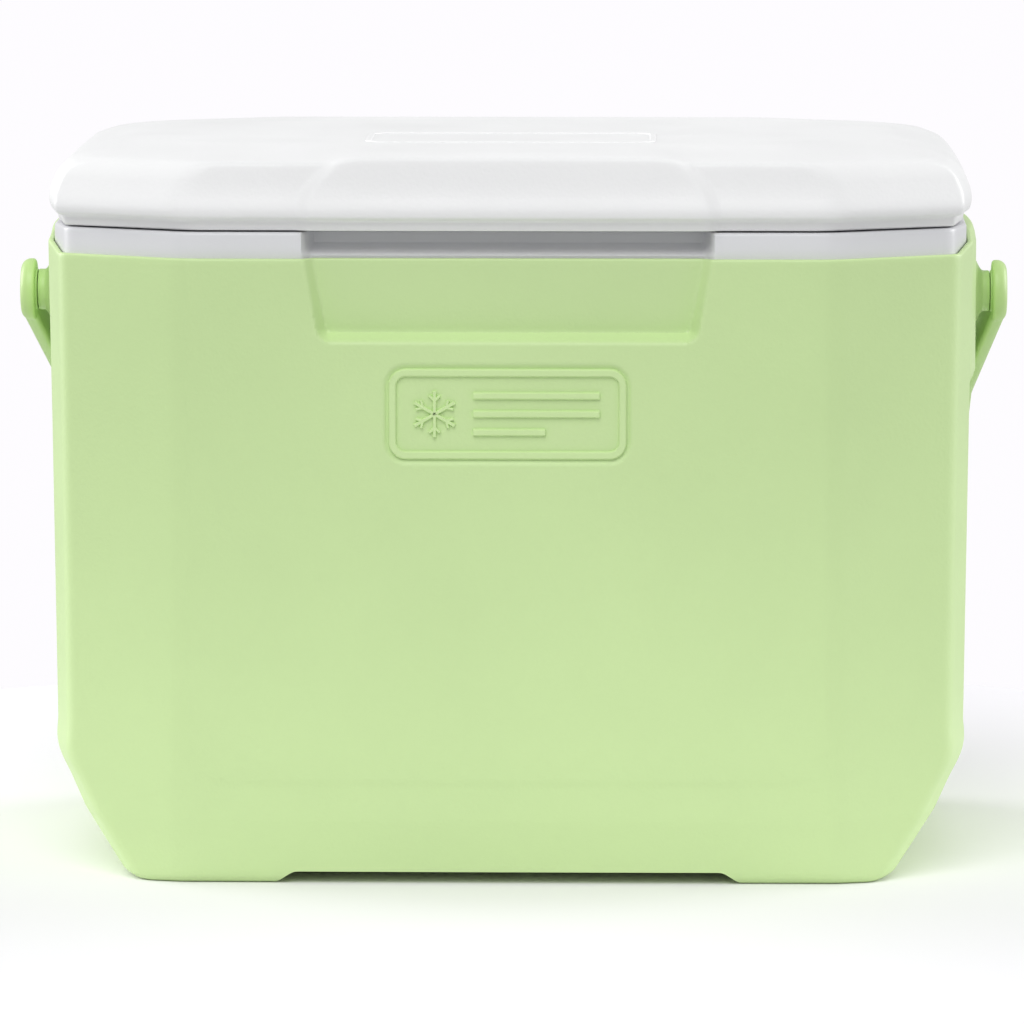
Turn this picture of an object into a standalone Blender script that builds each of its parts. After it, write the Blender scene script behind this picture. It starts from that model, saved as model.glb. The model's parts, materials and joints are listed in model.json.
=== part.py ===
"""Hard-sided picnic cooler of the 16-quart class: moulded shell, white liner, hinged lid and bail handle.

Run with: blender --background --python part.py
Units are metres. Seen from the front, +X runs to the right, +Y runs to the back and +Z is up.
The origin is on the ground, under the middle of the box round the cooler with its handle folded back.
"""

import math

import bmesh
import bpy
from mathutils import Matrix, Vector

# ---------------------------------------------------------------- driving dimensions
BASE_HEIGHT = 0.0053  # underside of the base above the ground
BELT_LOW = 0.0280  # where the walls begin to lean out towards the belt
BELT_HIGH = 0.0526  # where they turn upright
SHELL_TOP = 0.2695  # rim of the green shell
SIDE_RISE = 0.0062  # how much higher the rim is beside the handle pivots
RISE_START = 0.1010  # distance from the middle, to the front and back, at which the rim begins to rise
RISE_END = 0.0650
COLLAR_TOP = 0.2805  # deck of the white liner
LID_BOTTOM = 0.2813  # lip of the closed lid
LID_TOP = 0.3150  # crown of the lid
SHELL_WALL = 0.0024
LINER_WALL = 0.0020
LID_WALL = 0.0024
GAP = 0.0004  # clearance between pieces that touch
FOAM_GAP = 0.0007  # clearance round the foam

# The shell's plan at each height: (z, half width, half depth, corner). A corner is two flats, given as
# (run, turn, set back, depth). It leaves the front face `run` short of the side, bends at `turn` from the
# side and `set back` behind the front, and meets the side `depth` behind the front.
SHELL_LEVELS = (
    (0.0000, 0.1640, 0.1235, (0.0230, 0.0060, 0.0040, 0.0180)),
    (BELT_LOW, 0.1838, 0.1282, (0.0430, 0.0085, 0.0180, 0.0380)),
    (BELT_HIGH, 0.1964, 0.1300, (0.0565, 0.0090, 0.0275, 0.0535)),
    (0.1950, 0.1980, 0.1308, (0.0590, 0.0092, 0.0278, 0.0538)),
    (SHELL_TOP, 0.1996, 0.1315, (0.0600, 0.0095, 0.0280, 0.0540)),
)
KNOT_RADII = (0.026, 0.007, 0.007)  # rounding at the three bends of a corner
KNOT_STEPS = 2
KNOT_LIMIT = 0.45  # share of a flat that its rounding may take up
BOW = 0.0006  # outward crown of the long walls
RIM_EDGE = 0.0012  # rounding of the shell's rim
TOE_EDGE = 0.0045  # rounding of the shell's feet
CUT_REACH = 0.30  # how far a cutter runs past the cooler's middle
OVERRUN = 0.0100  # how far a cutter runs past what it cuts
STEP = 0.00001  # the least offset between two rings, for a square shoulder

# Finger scoop in the front face, under the collar's own finger recess.
SCOOP_BOTTOM = 0.2344
SCOOP_LEDGE = 0.0038  # height of the sloping ledge at its foot
SCOOP_DEEP = 0.0080  # depth above the ledge
SCOOP_SHALLOW = 0.0045  # depth at the rim
SCOOP_TOP_HALF = 0.0880
SCOOP_FOOT_HALF = 0.0806
SCOOP_FLANK = 0.0045
SCOOP_INNER_DROP = 0.0025  # how far the scoop's inner face lies below its outer face
SCOOP_FOAM_DROP = 0.0032
COLLAR_RECESS_DEEP = 0.0130
COLLAR_LEDGE_LOW = SHELL_TOP + 0.0008  # the sloping floor of the collar's recess
COLLAR_LEDGE_HIGH = SHELL_TOP + 0.0045
COLLAR_LEDGE_DEEP = SCOOP_SHALLOW + 0.0010
COLLAR_EDGE = 0.0012  # rounding of the deck's outer edge
SKIRT_FOOT = 0.2580  # lower end of the collar's skirt, inside the shell
SKIRT_RECESS = 0.0066
FOAM_TOP = 0.2560

# Raised pad round each handle pivot, on the shell's sides.
PAD_HALF_LENGTH = 0.0420
PAD_RAMP = 0.0060
PAD_FACE = 0.2026  # the pad's flat face, from the middle
PAD_FOOT = 0.2030
PAD_RISE = 0.0090

# Channels under the base that leave four feet.
CHANNEL_HALF_X = 0.0905
CHANNEL_HALF_Y = 0.0450
CHANNEL_FLARE = 0.0095

# Handle and its pivots.
PIVOT_Z = 0.2442
HANDLE_REACH = 0.1630  # pivot to the middle of the grip
EYE_OUTER_X = 0.2180
EYE_INNER_X = 0.2106
EYE_RADIUS = 0.0136
ARM_RUN_X = 0.2030  # middle of the arm where it clears the lid
ARM_TAPER_START = 0.0240
ARM_TAPER_END = 0.1180
ARM_THICK = 0.0066
ARM_WIDE = 0.0220
ARM_SHARES = (0.0, 0.28, 0.55, 0.80, 1.0)  # where the arm's taper has a ring
GRIP_WIDE = 0.0280
GRIP_THICK = 0.0170
GRIP_SECTION_X = 0.0900
BEND_RADIUS = 0.0260
BEND_STEPS = 5
SECTION_ROUNDING = 0.72  # corner radius of the handle's section, as a share of its half thickness
FOLD_BELOW_LEVEL = math.radians(28.0)
HUB_LENGTH = 0.0022  # the boss on the eye's inner side
HUB_RADIUS = 0.0088
STUD_RADIUS = 0.0055
RUNNING_CLEARANCE = 0.00008  # radial, of the studs and the hinge pins
CAP_RADIUS = 0.0078
CAP_STEM_RADIUS = 0.0024
SOCKET_RADIUS = 0.0028
SHANK_RADIUS = 0.0045
CONE_FOOT_RADIUS = 0.0152
CONE_END_RADIUS = 0.0090
NUT_RADIUS = 0.0100
NUT_THICK = 0.0040

# Hinges at the back.
HINGE_X = 0.1050
HINGE_HALF = 0.0230
HINGE_AXIS_Y = 0.1378
HINGE_AXIS_Z = 0.2828
KNUCKLE_RADIUS = 0.0034
PIN_RADIUS = 0.0015
LEAF_THICK = 0.0025
KNUCKLE_SPLIT = 0.0095  # half length of the middle knuckle
KNUCKLE_STEPS = 9
KNUCKLE_CLEARANCE = 0.0009
KNUCKLE_SWEEP = math.radians(250)
BODY_LEAF_Z = (0.2460, 0.2800)
LID_LEAF_Z = (0.2870, 0.3030)
LEAF_STANDOFF = 0.0003  # between a leaf and the wall that it is screwed to
SCREW_RADIUS = 0.0016
SCREW_HEAD_RADIUS = 0.0034
SCREW_HEAD_HEIGHT = 0.0019
SCREW_CLEARANCE = 0.0004
BODY_SCREW_LENGTH = 0.0130
LID_SCREW_LENGTH = 0.0110
SCREW_SIDE = 0.0140  # screw from the hinge's middle
LID_SCREW_Z = 0.2955
BODY_SCREW_Z = 0.2625

# Lid plan at each height: (z, half width, front half depth, back half depth, front pad). The front pad is
# the raised middle of the front face.
LID_LEVELS = (
    (0.2813, 0.1952, 0.1292, 0.1292, 0.0030),
    (0.2855, 0.1960, 0.1296, 0.1296, 0.0030),
    (0.2865, 0.1970, 0.1316, 0.1300, 0.0030),
    (0.2915, 0.1984, 0.1338, 0.1300, 0.0030),
    (0.2990, 0.1967, 0.1316, 0.1300, 0.0030),
    (0.3050, 0.1935, 0.1303, 0.1290, 0.0030),
    (0.3100, 0.1880, 0.1288, 0.1262, 0.0024),
    (0.3122, 0.1818, 0.1130, 0.1120, 0.0000),
    (0.3140, 0.1740, 0.0940, 0.0920, 0.0000),
    (LID_TOP, 0.1660, 0.0840, 0.0840, 0.0000),
)
LID_PAD_FOOT_HALF = 0.0905
LID_PAD_TOP_HALF = 0.0770
LID_PAD_FLANK = 0.0040
TOP_CORNER = (0.0585, 0.0080, 0.0280, 0.0540)
LID_FLANGE_LOW = LID_BOTTOM + 0.0003  # the lid's inner panel, round its plug
LID_FLANGE_HIGH = LID_BOTTOM + 0.0025

# The tub inside the liner: (z, half width, half depth).
TUB_LEVELS = (
    (COLLAR_TOP, 0.1745, 0.1015),
    (COLLAR_TOP - 0.0030, 0.1728, 0.0998),
    (0.0560, 0.1650, 0.0945),
    (0.0400, 0.1560, 0.0915),
    (0.0320, 0.1470, 0.0835),
)
TUB_CORNER = (0.0300, 0.0070, 0.0120, 0.0300)
PLUG_BOTTOM = 0.2720
PLUG_CLEARANCE = 0.0030

GREEN = (0.560, 0.745, 0.360)
WHITE = (0.860, 0.860, 0.870)
FOAM = (0.880, 0.800, 0.600)
STEEL = (0.620, 0.620, 0.640)


# ---------------------------------------------------------------- materials
def material(name, colour, roughness, metallic=0.0):
    """A plain Principled material."""
    made = bpy.data.materials.new(name)
    made.use_nodes = True
    shader = made.node_tree.nodes["Principled BSDF"]
    shader.inputs["Base Color"].default_value = (*colour, 1.0)
    shader.inputs["Roughness"].default_value = roughness
    shader.inputs["Metallic"].default_value = metallic
    made.diffuse_color = (*colour, 1.0)
    return made


# ---------------------------------------------------------------- plan outlines
def between(a, b, share):
    """A value, or each value of a tuple, part of the way from a to b."""
    if isinstance(a, tuple):
        return tuple(between(x, y, share) for x, y in zip(a, b))
    return a + (b - a) * share


def at_height(levels, z):
    """The row of levels at height z, between the two rows that hold it."""
    rows = sorted(levels)
    for low, high in zip(rows, rows[1:]):
        if z <= high[0]:
            break
    share = (z - low[0]) / (high[0] - low[0])
    return between(low[1:], high[1:], min(max(share, 0.0), 1.0))


def rounded_knot(before, knot, after, radius):
    """Points of the arc that rounds one bend of an outline."""
    to_before = (before - knot).normalized()
    to_after = (after - knot).normalized()
    half_angle = to_before.angle(to_after) / 2
    reach = radius / math.tan(half_angle)
    reach = min(reach, KNOT_LIMIT * (before - knot).length, KNOT_LIMIT * (after - knot).length)
    start = knot + to_before * reach
    end = knot + to_after * reach
    points = []
    for step in range(KNOT_STEPS):
        t = step / (KNOT_STEPS - 1)
        points.append(start * (1 - t) ** 2 + knot * 2 * t * (1 - t) + end * t * t)
    return points


def corner_points(half_x, half_y, corner):
    """The front-right corner, from the front face round to the side."""
    run, turn, set_back, depth = corner
    knots = (
        Vector((half_x - run, -half_y)),
        Vector((half_x - turn, -half_y + set_back)),
        Vector((half_x, -half_y + depth)),
    )
    ends = (Vector((0.0, -half_y)), Vector((half_x, 0.0)))
    chain = (ends[0], *knots, ends[1])
    points = []
    for index, radius in enumerate(KNOT_RADII):
        points += rounded_knot(*chain[index : index + 3], radius)
    return points


def bow(along, reach):
    """How far a long wall stands proud of its ends, at a place along it."""
    return BOW * (1 - (along / reach) ** 2)


def outline(half_x, half_front, half_back, corner, z, notch=(0.09, 0.0045, 0.0), pad_face=0.0):
    """A closed plan outline at height z, anticlockwise from the middle of the front.

    notch is (half width, flank, depth) of the recess in the front face; a negative depth stands proud.
    pad_face is how far out the faces of the pivot pads stand, where that is beyond the sides themselves.
    """
    notch_half, flank, notch_depth = notch
    flat_x = half_x - corner[0]
    flat_y = min(half_front, half_back) - corner[3]
    heel = notch_half - flank
    front = [
        Vector((0.0, -half_front - bow(0.0, flat_x) + notch_depth)),
        Vector((heel, -half_front - bow(heel, flat_x) + notch_depth)),
        Vector((notch_half, -half_front - bow(notch_half, flat_x))),
    ]
    ramp_foot = min(PAD_HALF_LENGTH + PAD_RAMP, 0.8 * flat_y)
    ramp_top = min(PAD_HALF_LENGTH, 0.6 * flat_y)
    side_front = [
        Vector((half_x + bow(ramp_foot, flat_y), -ramp_foot)),
        Vector((max(half_x + bow(ramp_top, flat_y), pad_face), -ramp_top)),
    ]
    back_corner = [Vector((p.x, -p.y)) for p in reversed(corner_points(half_x, half_back, corner))]
    side_back = [Vector((p.x, -p.y)) for p in reversed(side_front)]
    back = [Vector((x, half_back + bow(x, flat_x))) for x in (notch_half, heel, 0.0)]
    front_corner = corner_points(half_x, half_front, corner)
    right = front + front_corner + side_front + side_back + back_corner + back
    left = [Vector((-p.x, p.y)) for p in reversed(right[1:-1])]
    return [Vector((p.x, p.y, z)) for p in right + left]


def inset(ring, distance):
    """The same outline moved inwards by distance, or outwards where it is negative."""
    moved = []
    count = len(ring)
    for index, point in enumerate(ring):
        to_next = (ring[(index + 1) % count] - point).to_2d().normalized()
        from_last = (point - ring[index - 1]).to_2d().normalized()
        inward = (Vector((-to_next.y, to_next.x)) + Vector((-from_last.y, from_last.x))) / 2
        inward /= max(inward.length_squared, 0.25)
        moved.append(point + Vector((*inward, 0.0)) * distance)
    return moved


def at_z(ring, z):
    """The same outline at another height."""
    return [Vector((p.x, p.y, z)) for p in ring]


# ---------------------------------------------------------------- solids
def new_object(name, mesh, parent, surface, smooth_angle=35.0):
    """Links a mesh as a named object under a parent empty."""
    made = bpy.data.objects.new(name, mesh)
    bpy.context.scene.collection.objects.link(made)
    made.parent = parent
    mesh.materials.append(surface)
    mesh.shade_smooth()
    mesh.set_sharp_from_angle(angle=math.radians(smooth_angle))
    return made


def loft(name, rings):
    """A closed mesh through rings of equal length, with a flat cap on the first and the last.

    Every four-sided patch is split the same way on both faces of a wall, so the wall keeps its thickness.
    """
    shape = bmesh.new()
    rows = [[shape.verts.new(p) for p in ring] for ring in rings]
    count = len(rows[0])
    for low, high in zip(rows, rows[1:]):
        rising = sum(v.co.z for v in low) < sum(v.co.z for v in high)
        for index in range(count):
            after = (index + 1) % count
            a, b, c, d = low[index], low[after], high[after], high[index]
            if rising == (index < count // 2):
                shape.faces.new((a, b, c))
                shape.faces.new((a, c, d))
            else:
                shape.faces.new((a, b, d))
                shape.faces.new((b, c, d))
    shape.faces.new(list(reversed(rows[0])))
    shape.faces.new(rows[-1])
    bmesh.ops.recalc_face_normals(shape, faces=shape.faces)
    mesh = bpy.data.meshes.new(name)
    shape.to_mesh(mesh)
    shape.free()
    return mesh


def turned(name, profile, steps=24):
    """A solid of revolution about X, through (x, radius) pairs from one end of the axis to the other."""
    rings = []
    for x, radius in profile:
        ring = []
        for step in range(steps):
            angle = 2 * math.pi * step / steps
            ring.append(Vector((x, radius * math.cos(angle), radius * math.sin(angle))))
        rings.append(ring)
    return loft(name, rings)


def rod(name, x_low, x_high, radius, steps=24):
    """A cylinder, or a prism, along X."""
    return turned(name, ((x_low, radius), (x_high, radius)), steps)


def block(name, low, high):
    """A plain box mesh between two corners."""
    shape = bmesh.new()
    size = Vector(high) - Vector(low)
    middle = (Vector(high) + Vector(low)) / 2
    placed = Matrix.Translation(middle) @ Matrix.Diagonal((*size, 1.0))
    bmesh.ops.create_cube(shape, size=1.0, matrix=placed)
    mesh = bpy.data.meshes.new(name)
    shape.to_mesh(mesh)
    shape.free()
    return mesh


def extruded_x(name, outline_yz, x_low, x_high):
    """A prism along X of an outline given as (y, z) pairs."""
    rings = [[Vector((x, y, z)) for y, z in outline_yz] for x in (x_low, x_high)]
    return loft(name, rings)


def helper(name, mesh, parent):
    """A cutter, kept out of renders."""
    made = bpy.data.objects.new(name, mesh)
    bpy.context.scene.collection.objects.link(made)
    made.parent = parent
    made.hide_render = True
    made.display_type = "WIRE"
    return made


def combine(target, other, operation):
    """A Boolean modifier on target."""
    modifier = target.modifiers.new(other.name, "BOOLEAN")
    modifier.operation = operation
    modifier.object = other
    modifier.solver = "EXACT"


def turned_along_y(name, profile, steps=12):
    """A solid of revolution about Y, through (y, radius) pairs."""
    mesh = turned(name, profile, steps)
    mesh.transform(Matrix.Rotation(math.pi / 2, 4, "Z"))
    return mesh


# ---------------------------------------------------------------- shell
def scoop(z, drop=0.0):
    """(half width, flank, depth) of the shell's front scoop at height z."""
    foot = SCOOP_BOTTOM - drop
    ledge = foot + SCOOP_LEDGE
    share = (z - ledge) / (SHELL_TOP - ledge)
    depth = between(SCOOP_DEEP, SCOOP_SHALLOW, max(share, 0.0))
    if z <= ledge:
        depth = SCOOP_DEEP * max(0.0, (z - foot) / SCOOP_LEDGE)
    half = between(SCOOP_FOOT_HALF, SCOOP_TOP_HALF, max(share, 0.0))
    return half, SCOOP_FLANK, depth


def shell_ring(z, pad_face=0.0, notch=None):
    """The shell's outer plan at height z."""
    half_x, half_y, corner = at_height(SHELL_LEVELS, z)
    return outline(half_x, half_y, half_y, corner, z, notch or scoop(z), pad_face)


def with_side_rise(ring):
    """The rim ring with its sides raised beside the handle pivots."""
    raised = []
    for point in ring:
        share = (RISE_START - abs(point.y)) / (RISE_START - RISE_END)
        raised.append(point + Vector((0.0, 0.0, SIDE_RISE * min(max(share, 0.0), 1.0))))
    return raised


def build_shell(parent, surface):
    """The outer shell, a thin open-topped moulding."""
    ledge = SCOOP_BOTTOM + SCOOP_LEDGE
    drop = SCOOP_INNER_DROP
    inner = []
    for z in (BASE_HEIGHT + SHELL_WALL, BELT_LOW, BELT_HIGH, SCOOP_BOTTOM - drop, ledge - drop, SHELL_TOP):
        inner.append(inset(shell_ring(z, 0.0, scoop(z, drop)), SHELL_WALL))
    inner[-1] = with_side_rise(inner[-1])
    outer = [
        with_side_rise(inset(shell_ring(SHELL_TOP, PAD_FACE - 1.5 * RIM_EDGE), RIM_EDGE)),
        with_side_rise(shell_ring(SHELL_TOP - RIM_EDGE, PAD_FACE - RIM_EDGE)),
        shell_ring(SHELL_TOP - 0.0070, PAD_FACE),
        shell_ring(ledge, PAD_FACE),
        shell_ring(SCOOP_BOTTOM, PAD_FACE),
        shell_ring(PAD_FOOT + PAD_RISE, PAD_FACE),
        shell_ring(PAD_FOOT),
        shell_ring(BELT_HIGH),
        shell_ring(BELT_LOW),
        shell_ring(0.0050),
        inset(shell_ring(TOE_EDGE / 3), 0.0014),
        inset(shell_ring(0.0), TOE_EDGE),
    ]
    shell = new_object("outer_shell", loft("outer_shell", inner + outer), parent, surface)
    for name, half, turn in (
        ("channel_x", CHANNEL_HALF_X, math.pi / 2),
        ("channel_y", CHANNEL_HALF_Y, 0.0),
    ):
        flared = half + CHANNEL_FLARE * 1.5
        section = (
            (half, BASE_HEIGHT),
            (flared, -BASE_HEIGHT / 2),
            (-flared, -BASE_HEIGHT / 2),
            (-half, BASE_HEIGHT),
        )
        mesh = extruded_x(name, section, -CUT_REACH, CUT_REACH)
        mesh.transform(Matrix.Rotation(turn, 4, "Z"))
        combine(shell, helper(name, mesh, parent), "DIFFERENCE")
    return shell


def build_core(parent, surface):
    """Foam between the shell and the liner."""
    outside = []
    foot = SCOOP_BOTTOM - SCOOP_FOAM_DROP
    foam_floor = BASE_HEIGHT + SHELL_WALL + FOAM_GAP
    for z in (FOAM_TOP, foot + SCOOP_LEDGE, foot, BELT_HIGH, BELT_LOW, foam_floor):
        outside.append(inset(shell_ring(z, 0.0, scoop(z, SCOOP_FOAM_DROP)), SHELL_WALL + FOAM_GAP))
    away = LINER_WALL + FOAM_GAP
    inside = [tub_ring(z, -away) for z in (FOAM_TOP, *(row[0] for row in TUB_LEVELS[2:]))]
    inside[-1] = at_z(inside[-1], TUB_LEVELS[-1][0] - away)
    rings = list(reversed(inside)) + outside
    return new_object("insulation_core", loft("insulation_core", rings), parent, surface)


# ---------------------------------------------------------------- liner
def tub_ring(z, distance=0.0):
    """The tub's inner plan at height z, moved inwards by distance."""
    half_x, half_y = at_height(TUB_LEVELS, z)
    return inset(outline(half_x, half_y, half_y, TUB_CORNER, z), distance)


def collar_ring(z, recess, distance=0.0):
    """The collar's outer plan: the shell's own, set in by its wall."""
    half_x, half_y, corner = at_height(SHELL_LEVELS, min(z, SHELL_TOP))
    notch = (SCOOP_TOP_HALF + 0.0005, SCOOP_FLANK, recess)
    return inset(outline(half_x, half_y, half_y, corner, z, notch), SHELL_WALL + GAP + distance)


def build_liner(parent, surface):
    """The white liner: tub, deck and collar in one moulding."""
    deep = COLLAR_RECESS_DEEP
    lip_z = TUB_LEVELS[1][0]
    rings = [tub_ring(z) for z, _, _ in reversed(TUB_LEVELS)]
    rings += [
        collar_ring(COLLAR_TOP, deep, COLLAR_EDGE),
        collar_ring(COLLAR_TOP - COLLAR_EDGE, deep),
        collar_ring(COLLAR_LEDGE_HIGH, deep - 0.0010),
        collar_ring(COLLAR_LEDGE_LOW, COLLAR_LEDGE_DEEP),
        collar_ring(SKIRT_FOOT, SKIRT_RECESS),
        collar_ring(SKIRT_FOOT, SKIRT_RECESS, LINER_WALL),
        collar_ring(COLLAR_LEDGE_LOW - LINER_WALL, COLLAR_LEDGE_DEEP, LINER_WALL),
        collar_ring(COLLAR_LEDGE_HIGH - LINER_WALL, deep - 0.0010, LINER_WALL),
        collar_ring(COLLAR_TOP - LINER_WALL, deep, LINER_WALL),
        at_z(tub_ring(lip_z, -LINER_WALL), COLLAR_TOP - LINER_WALL),
    ]
    for z, _, _ in TUB_LEVELS[2:]:
        rings.append(tub_ring(z, -LINER_WALL))
    rings[-1] = at_z(rings[-1], TUB_LEVELS[-1][0] - LINER_WALL)
    return new_object("inner_liner", loft("inner_liner", rings), parent, surface)


# ---------------------------------------------------------------- lid
def lid_ring(row, distance=0.0, drop=0.0):
    """One of the lid's outer rings, moved inwards by distance and down by drop."""
    z, half_x, front, back, pad = row
    height = (z - LID_BOTTOM) / (LID_TOP - LID_BOTTOM)
    pad_half = between(LID_PAD_FOOT_HALF, LID_PAD_TOP_HALF, height**2)
    notch = (pad_half - distance, LID_PAD_FLANK, -pad)
    return inset(outline(half_x, front, back, TOP_CORNER, z - drop, notch), distance)


def build_lid_cover(parent, surface):
    """The lid's outer skin, open underneath."""
    outside = [lid_ring(row) for row in LID_LEVELS]
    inside = []
    for row in (LID_LEVELS[-1], LID_LEVELS[-2], LID_LEVELS[-3]):
        inside.append(lid_ring(row, LID_WALL, LID_WALL))
    inside.append(lid_ring(LID_LEVELS[6], LID_WALL + 0.0010, LID_WALL * 0.6))
    inside.append(lid_ring(LID_LEVELS[4], LID_WALL))
    inside.append(lid_ring(LID_LEVELS[0], LID_WALL))
    return new_object("lid_cover", loft("lid_cover", inside + outside), parent, surface)


def lid_inner_ring(index, distance, z):
    """A ring inside the lid's skin, with the plan of one of its levels, at height z."""
    return at_z(lid_ring(LID_LEVELS[index], distance), z)


def plug_ring(z, extra=0.0):
    """The plug under the lid, which stands inside the tub's mouth."""
    lean = (COLLAR_TOP - z) * 0.35
    return at_z(tub_ring(TUB_LEVELS[1][0], PLUG_CLEARANCE + lean + extra), z)


def build_lid_liner(parent, surface):
    """The lid's inner panel, with a shallow plug that drops into the tub's mouth."""
    edge = LID_WALL + GAP
    rings = [
        plug_ring(PLUG_BOTTOM, 0.0020),
        plug_ring(PLUG_BOTTOM + 0.0020),
        plug_ring(LID_FLANGE_LOW),
        lid_inner_ring(0, edge, LID_FLANGE_LOW),
        lid_inner_ring(0, edge, LID_FLANGE_HIGH),
        plug_ring(LID_FLANGE_HIGH, LINER_WALL),
        plug_ring(PLUG_BOTTOM + LINER_WALL, LINER_WALL + 0.0020),
    ]
    return new_object("lid_liner", loft("lid_liner", rings), parent, surface)


def build_lid_core(parent, surface):
    """Foam inside the lid."""
    foot = LID_FLANGE_HIGH + GAP
    rings = [
        plug_ring(PLUG_BOTTOM + LINER_WALL + GAP, LINER_WALL + 0.0025),
        plug_ring(foot, LINER_WALL + 0.0005),
        lid_inner_ring(0, LID_WALL + 0.0020, foot),
        lid_inner_ring(4, LID_WALL + 0.0020, 0.2985),
        lid_inner_ring(6, LID_WALL + 0.0045, 0.3068),
        lid_inner_ring(7, LID_WALL + 0.0020, 0.3090),
        lid_inner_ring(9, LID_WALL, 0.3115),
    ]
    return new_object("lid_insulation", loft("lid_insulation", rings), parent, surface)


# ---------------------------------------------------------------- handle
def rounded_section(half_a, half_b, radius, steps=3):
    """(a, b) points of a rounded rectangle, anticlockwise."""
    points = []
    for quarter, (sign_a, sign_b) in enumerate(((1, 1), (-1, 1), (-1, -1), (1, -1))):
        for step in range(steps):
            angle = math.pi / 2 * (quarter + step / (steps - 1))
            a = sign_a * (half_a - radius) + radius * math.cos(angle)
            b = sign_b * (half_b - radius) + radius * math.sin(angle)
            points.append((a, b))
    return points


def handle_stations():
    """(centre, across, half thickness, half width) along half of the bail, from an eye towards the grip.

    The bail stands upright here, with Z up from the pivot. across is the way its thickness runs.
    """
    eye_x = (EYE_OUTER_X + EYE_INNER_X) / 2
    eye_thick = EYE_OUTER_X - EYE_INNER_X
    across = Vector((1.0, 0.0, 0.0))
    stations = []
    arm_rows = [(0.0, 0.0)]
    for share in ARM_SHARES:
        arm_rows.append((between(ARM_TAPER_START, ARM_TAPER_END, share), share))
    for z, share in arm_rows:
        x = between(eye_x, ARM_RUN_X, share)
        thick = between(eye_thick, ARM_THICK, share)
        stations.append((Vector((x, 0.0, z)), across, thick / 2, ARM_WIDE / 2))
    bend_x = ARM_RUN_X - BEND_RADIUS
    bend_z = HANDLE_REACH - BEND_RADIUS
    for step in range(BEND_STEPS + 1):
        share = step / BEND_STEPS
        angle = math.pi / 2 * share
        turned_across = Vector((math.cos(angle), 0.0, math.sin(angle)))
        thick = between(ARM_THICK, GRIP_THICK, share)
        wide = between(ARM_WIDE, GRIP_WIDE, share)
        centre = Vector((bend_x, 0.0, bend_z)) + turned_across * BEND_RADIUS
        stations.append((centre, turned_across, thick / 2, wide / 2))
    grip_across = Vector((0.0, 0.0, 1.0))
    grip_end = Vector((GRIP_SECTION_X, 0.0, HANDLE_REACH))
    stations.append((grip_end, grip_across, GRIP_THICK / 2, GRIP_WIDE / 2))
    return stations


def build_handle(parent, surface):
    """The bail handle in one moulding: two eyes, two arms and the grip."""
    half = handle_stations()
    mirrored = []
    for centre, across, thick, wide in reversed(half):
        flip = Vector((-1.0, 1.0, 1.0))
        mirrored.append((centre * flip, across * flip, thick, wide))
    rings = []
    for centre, across, thick, wide in half + mirrored:
        radius = min(thick, wide) * SECTION_ROUNDING
        section = rounded_section(thick, wide, radius)
        rings.append([centre + across * a + Vector((0.0, b, 0.0)) for a, b in section])
    bail = new_object("bail_handle", loft("bail_handle", rings), parent, surface)
    for side, sign in (("left", -1), ("right", 1)):
        edge = 0.0015
        eye = turned(
            f"eye_{side}",
            (
                (EYE_INNER_X, EYE_RADIUS - edge),
                (EYE_INNER_X + edge, EYE_RADIUS),
                (EYE_OUTER_X - 2 * edge, EYE_RADIUS),
                (EYE_OUTER_X, EYE_RADIUS - 2 * edge),
            ),
        )
        hub_end = EYE_INNER_X - HUB_LENGTH
        hub = turned(f"hub_{side}", ((hub_end, HUB_RADIUS), (EYE_INNER_X + 0.0020, HUB_RADIUS + 0.0007)))
        bore = turned(
            f"bore_{side}",
            (
                (EYE_INNER_X - OVERRUN, STUD_RADIUS + RUNNING_CLEARANCE),
                (EYE_OUTER_X - 0.0024, STUD_RADIUS + RUNNING_CLEARANCE),
                (EYE_OUTER_X - 0.0023, CAP_RADIUS + GAP),
                (EYE_OUTER_X + OVERRUN, CAP_RADIUS + GAP),
            ),
        )
        for mesh in (eye, hub, bore):
            if sign < 0:
                mesh.transform(Matrix.Rotation(math.pi, 4, "Z"))
        combine(bail, helper(eye.name, eye, parent), "UNION")
        combine(bail, helper(hub.name, hub, parent), "UNION")
        combine(bail, helper(bore.name, bore, parent), "DIFFERENCE")
    return bail


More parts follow.
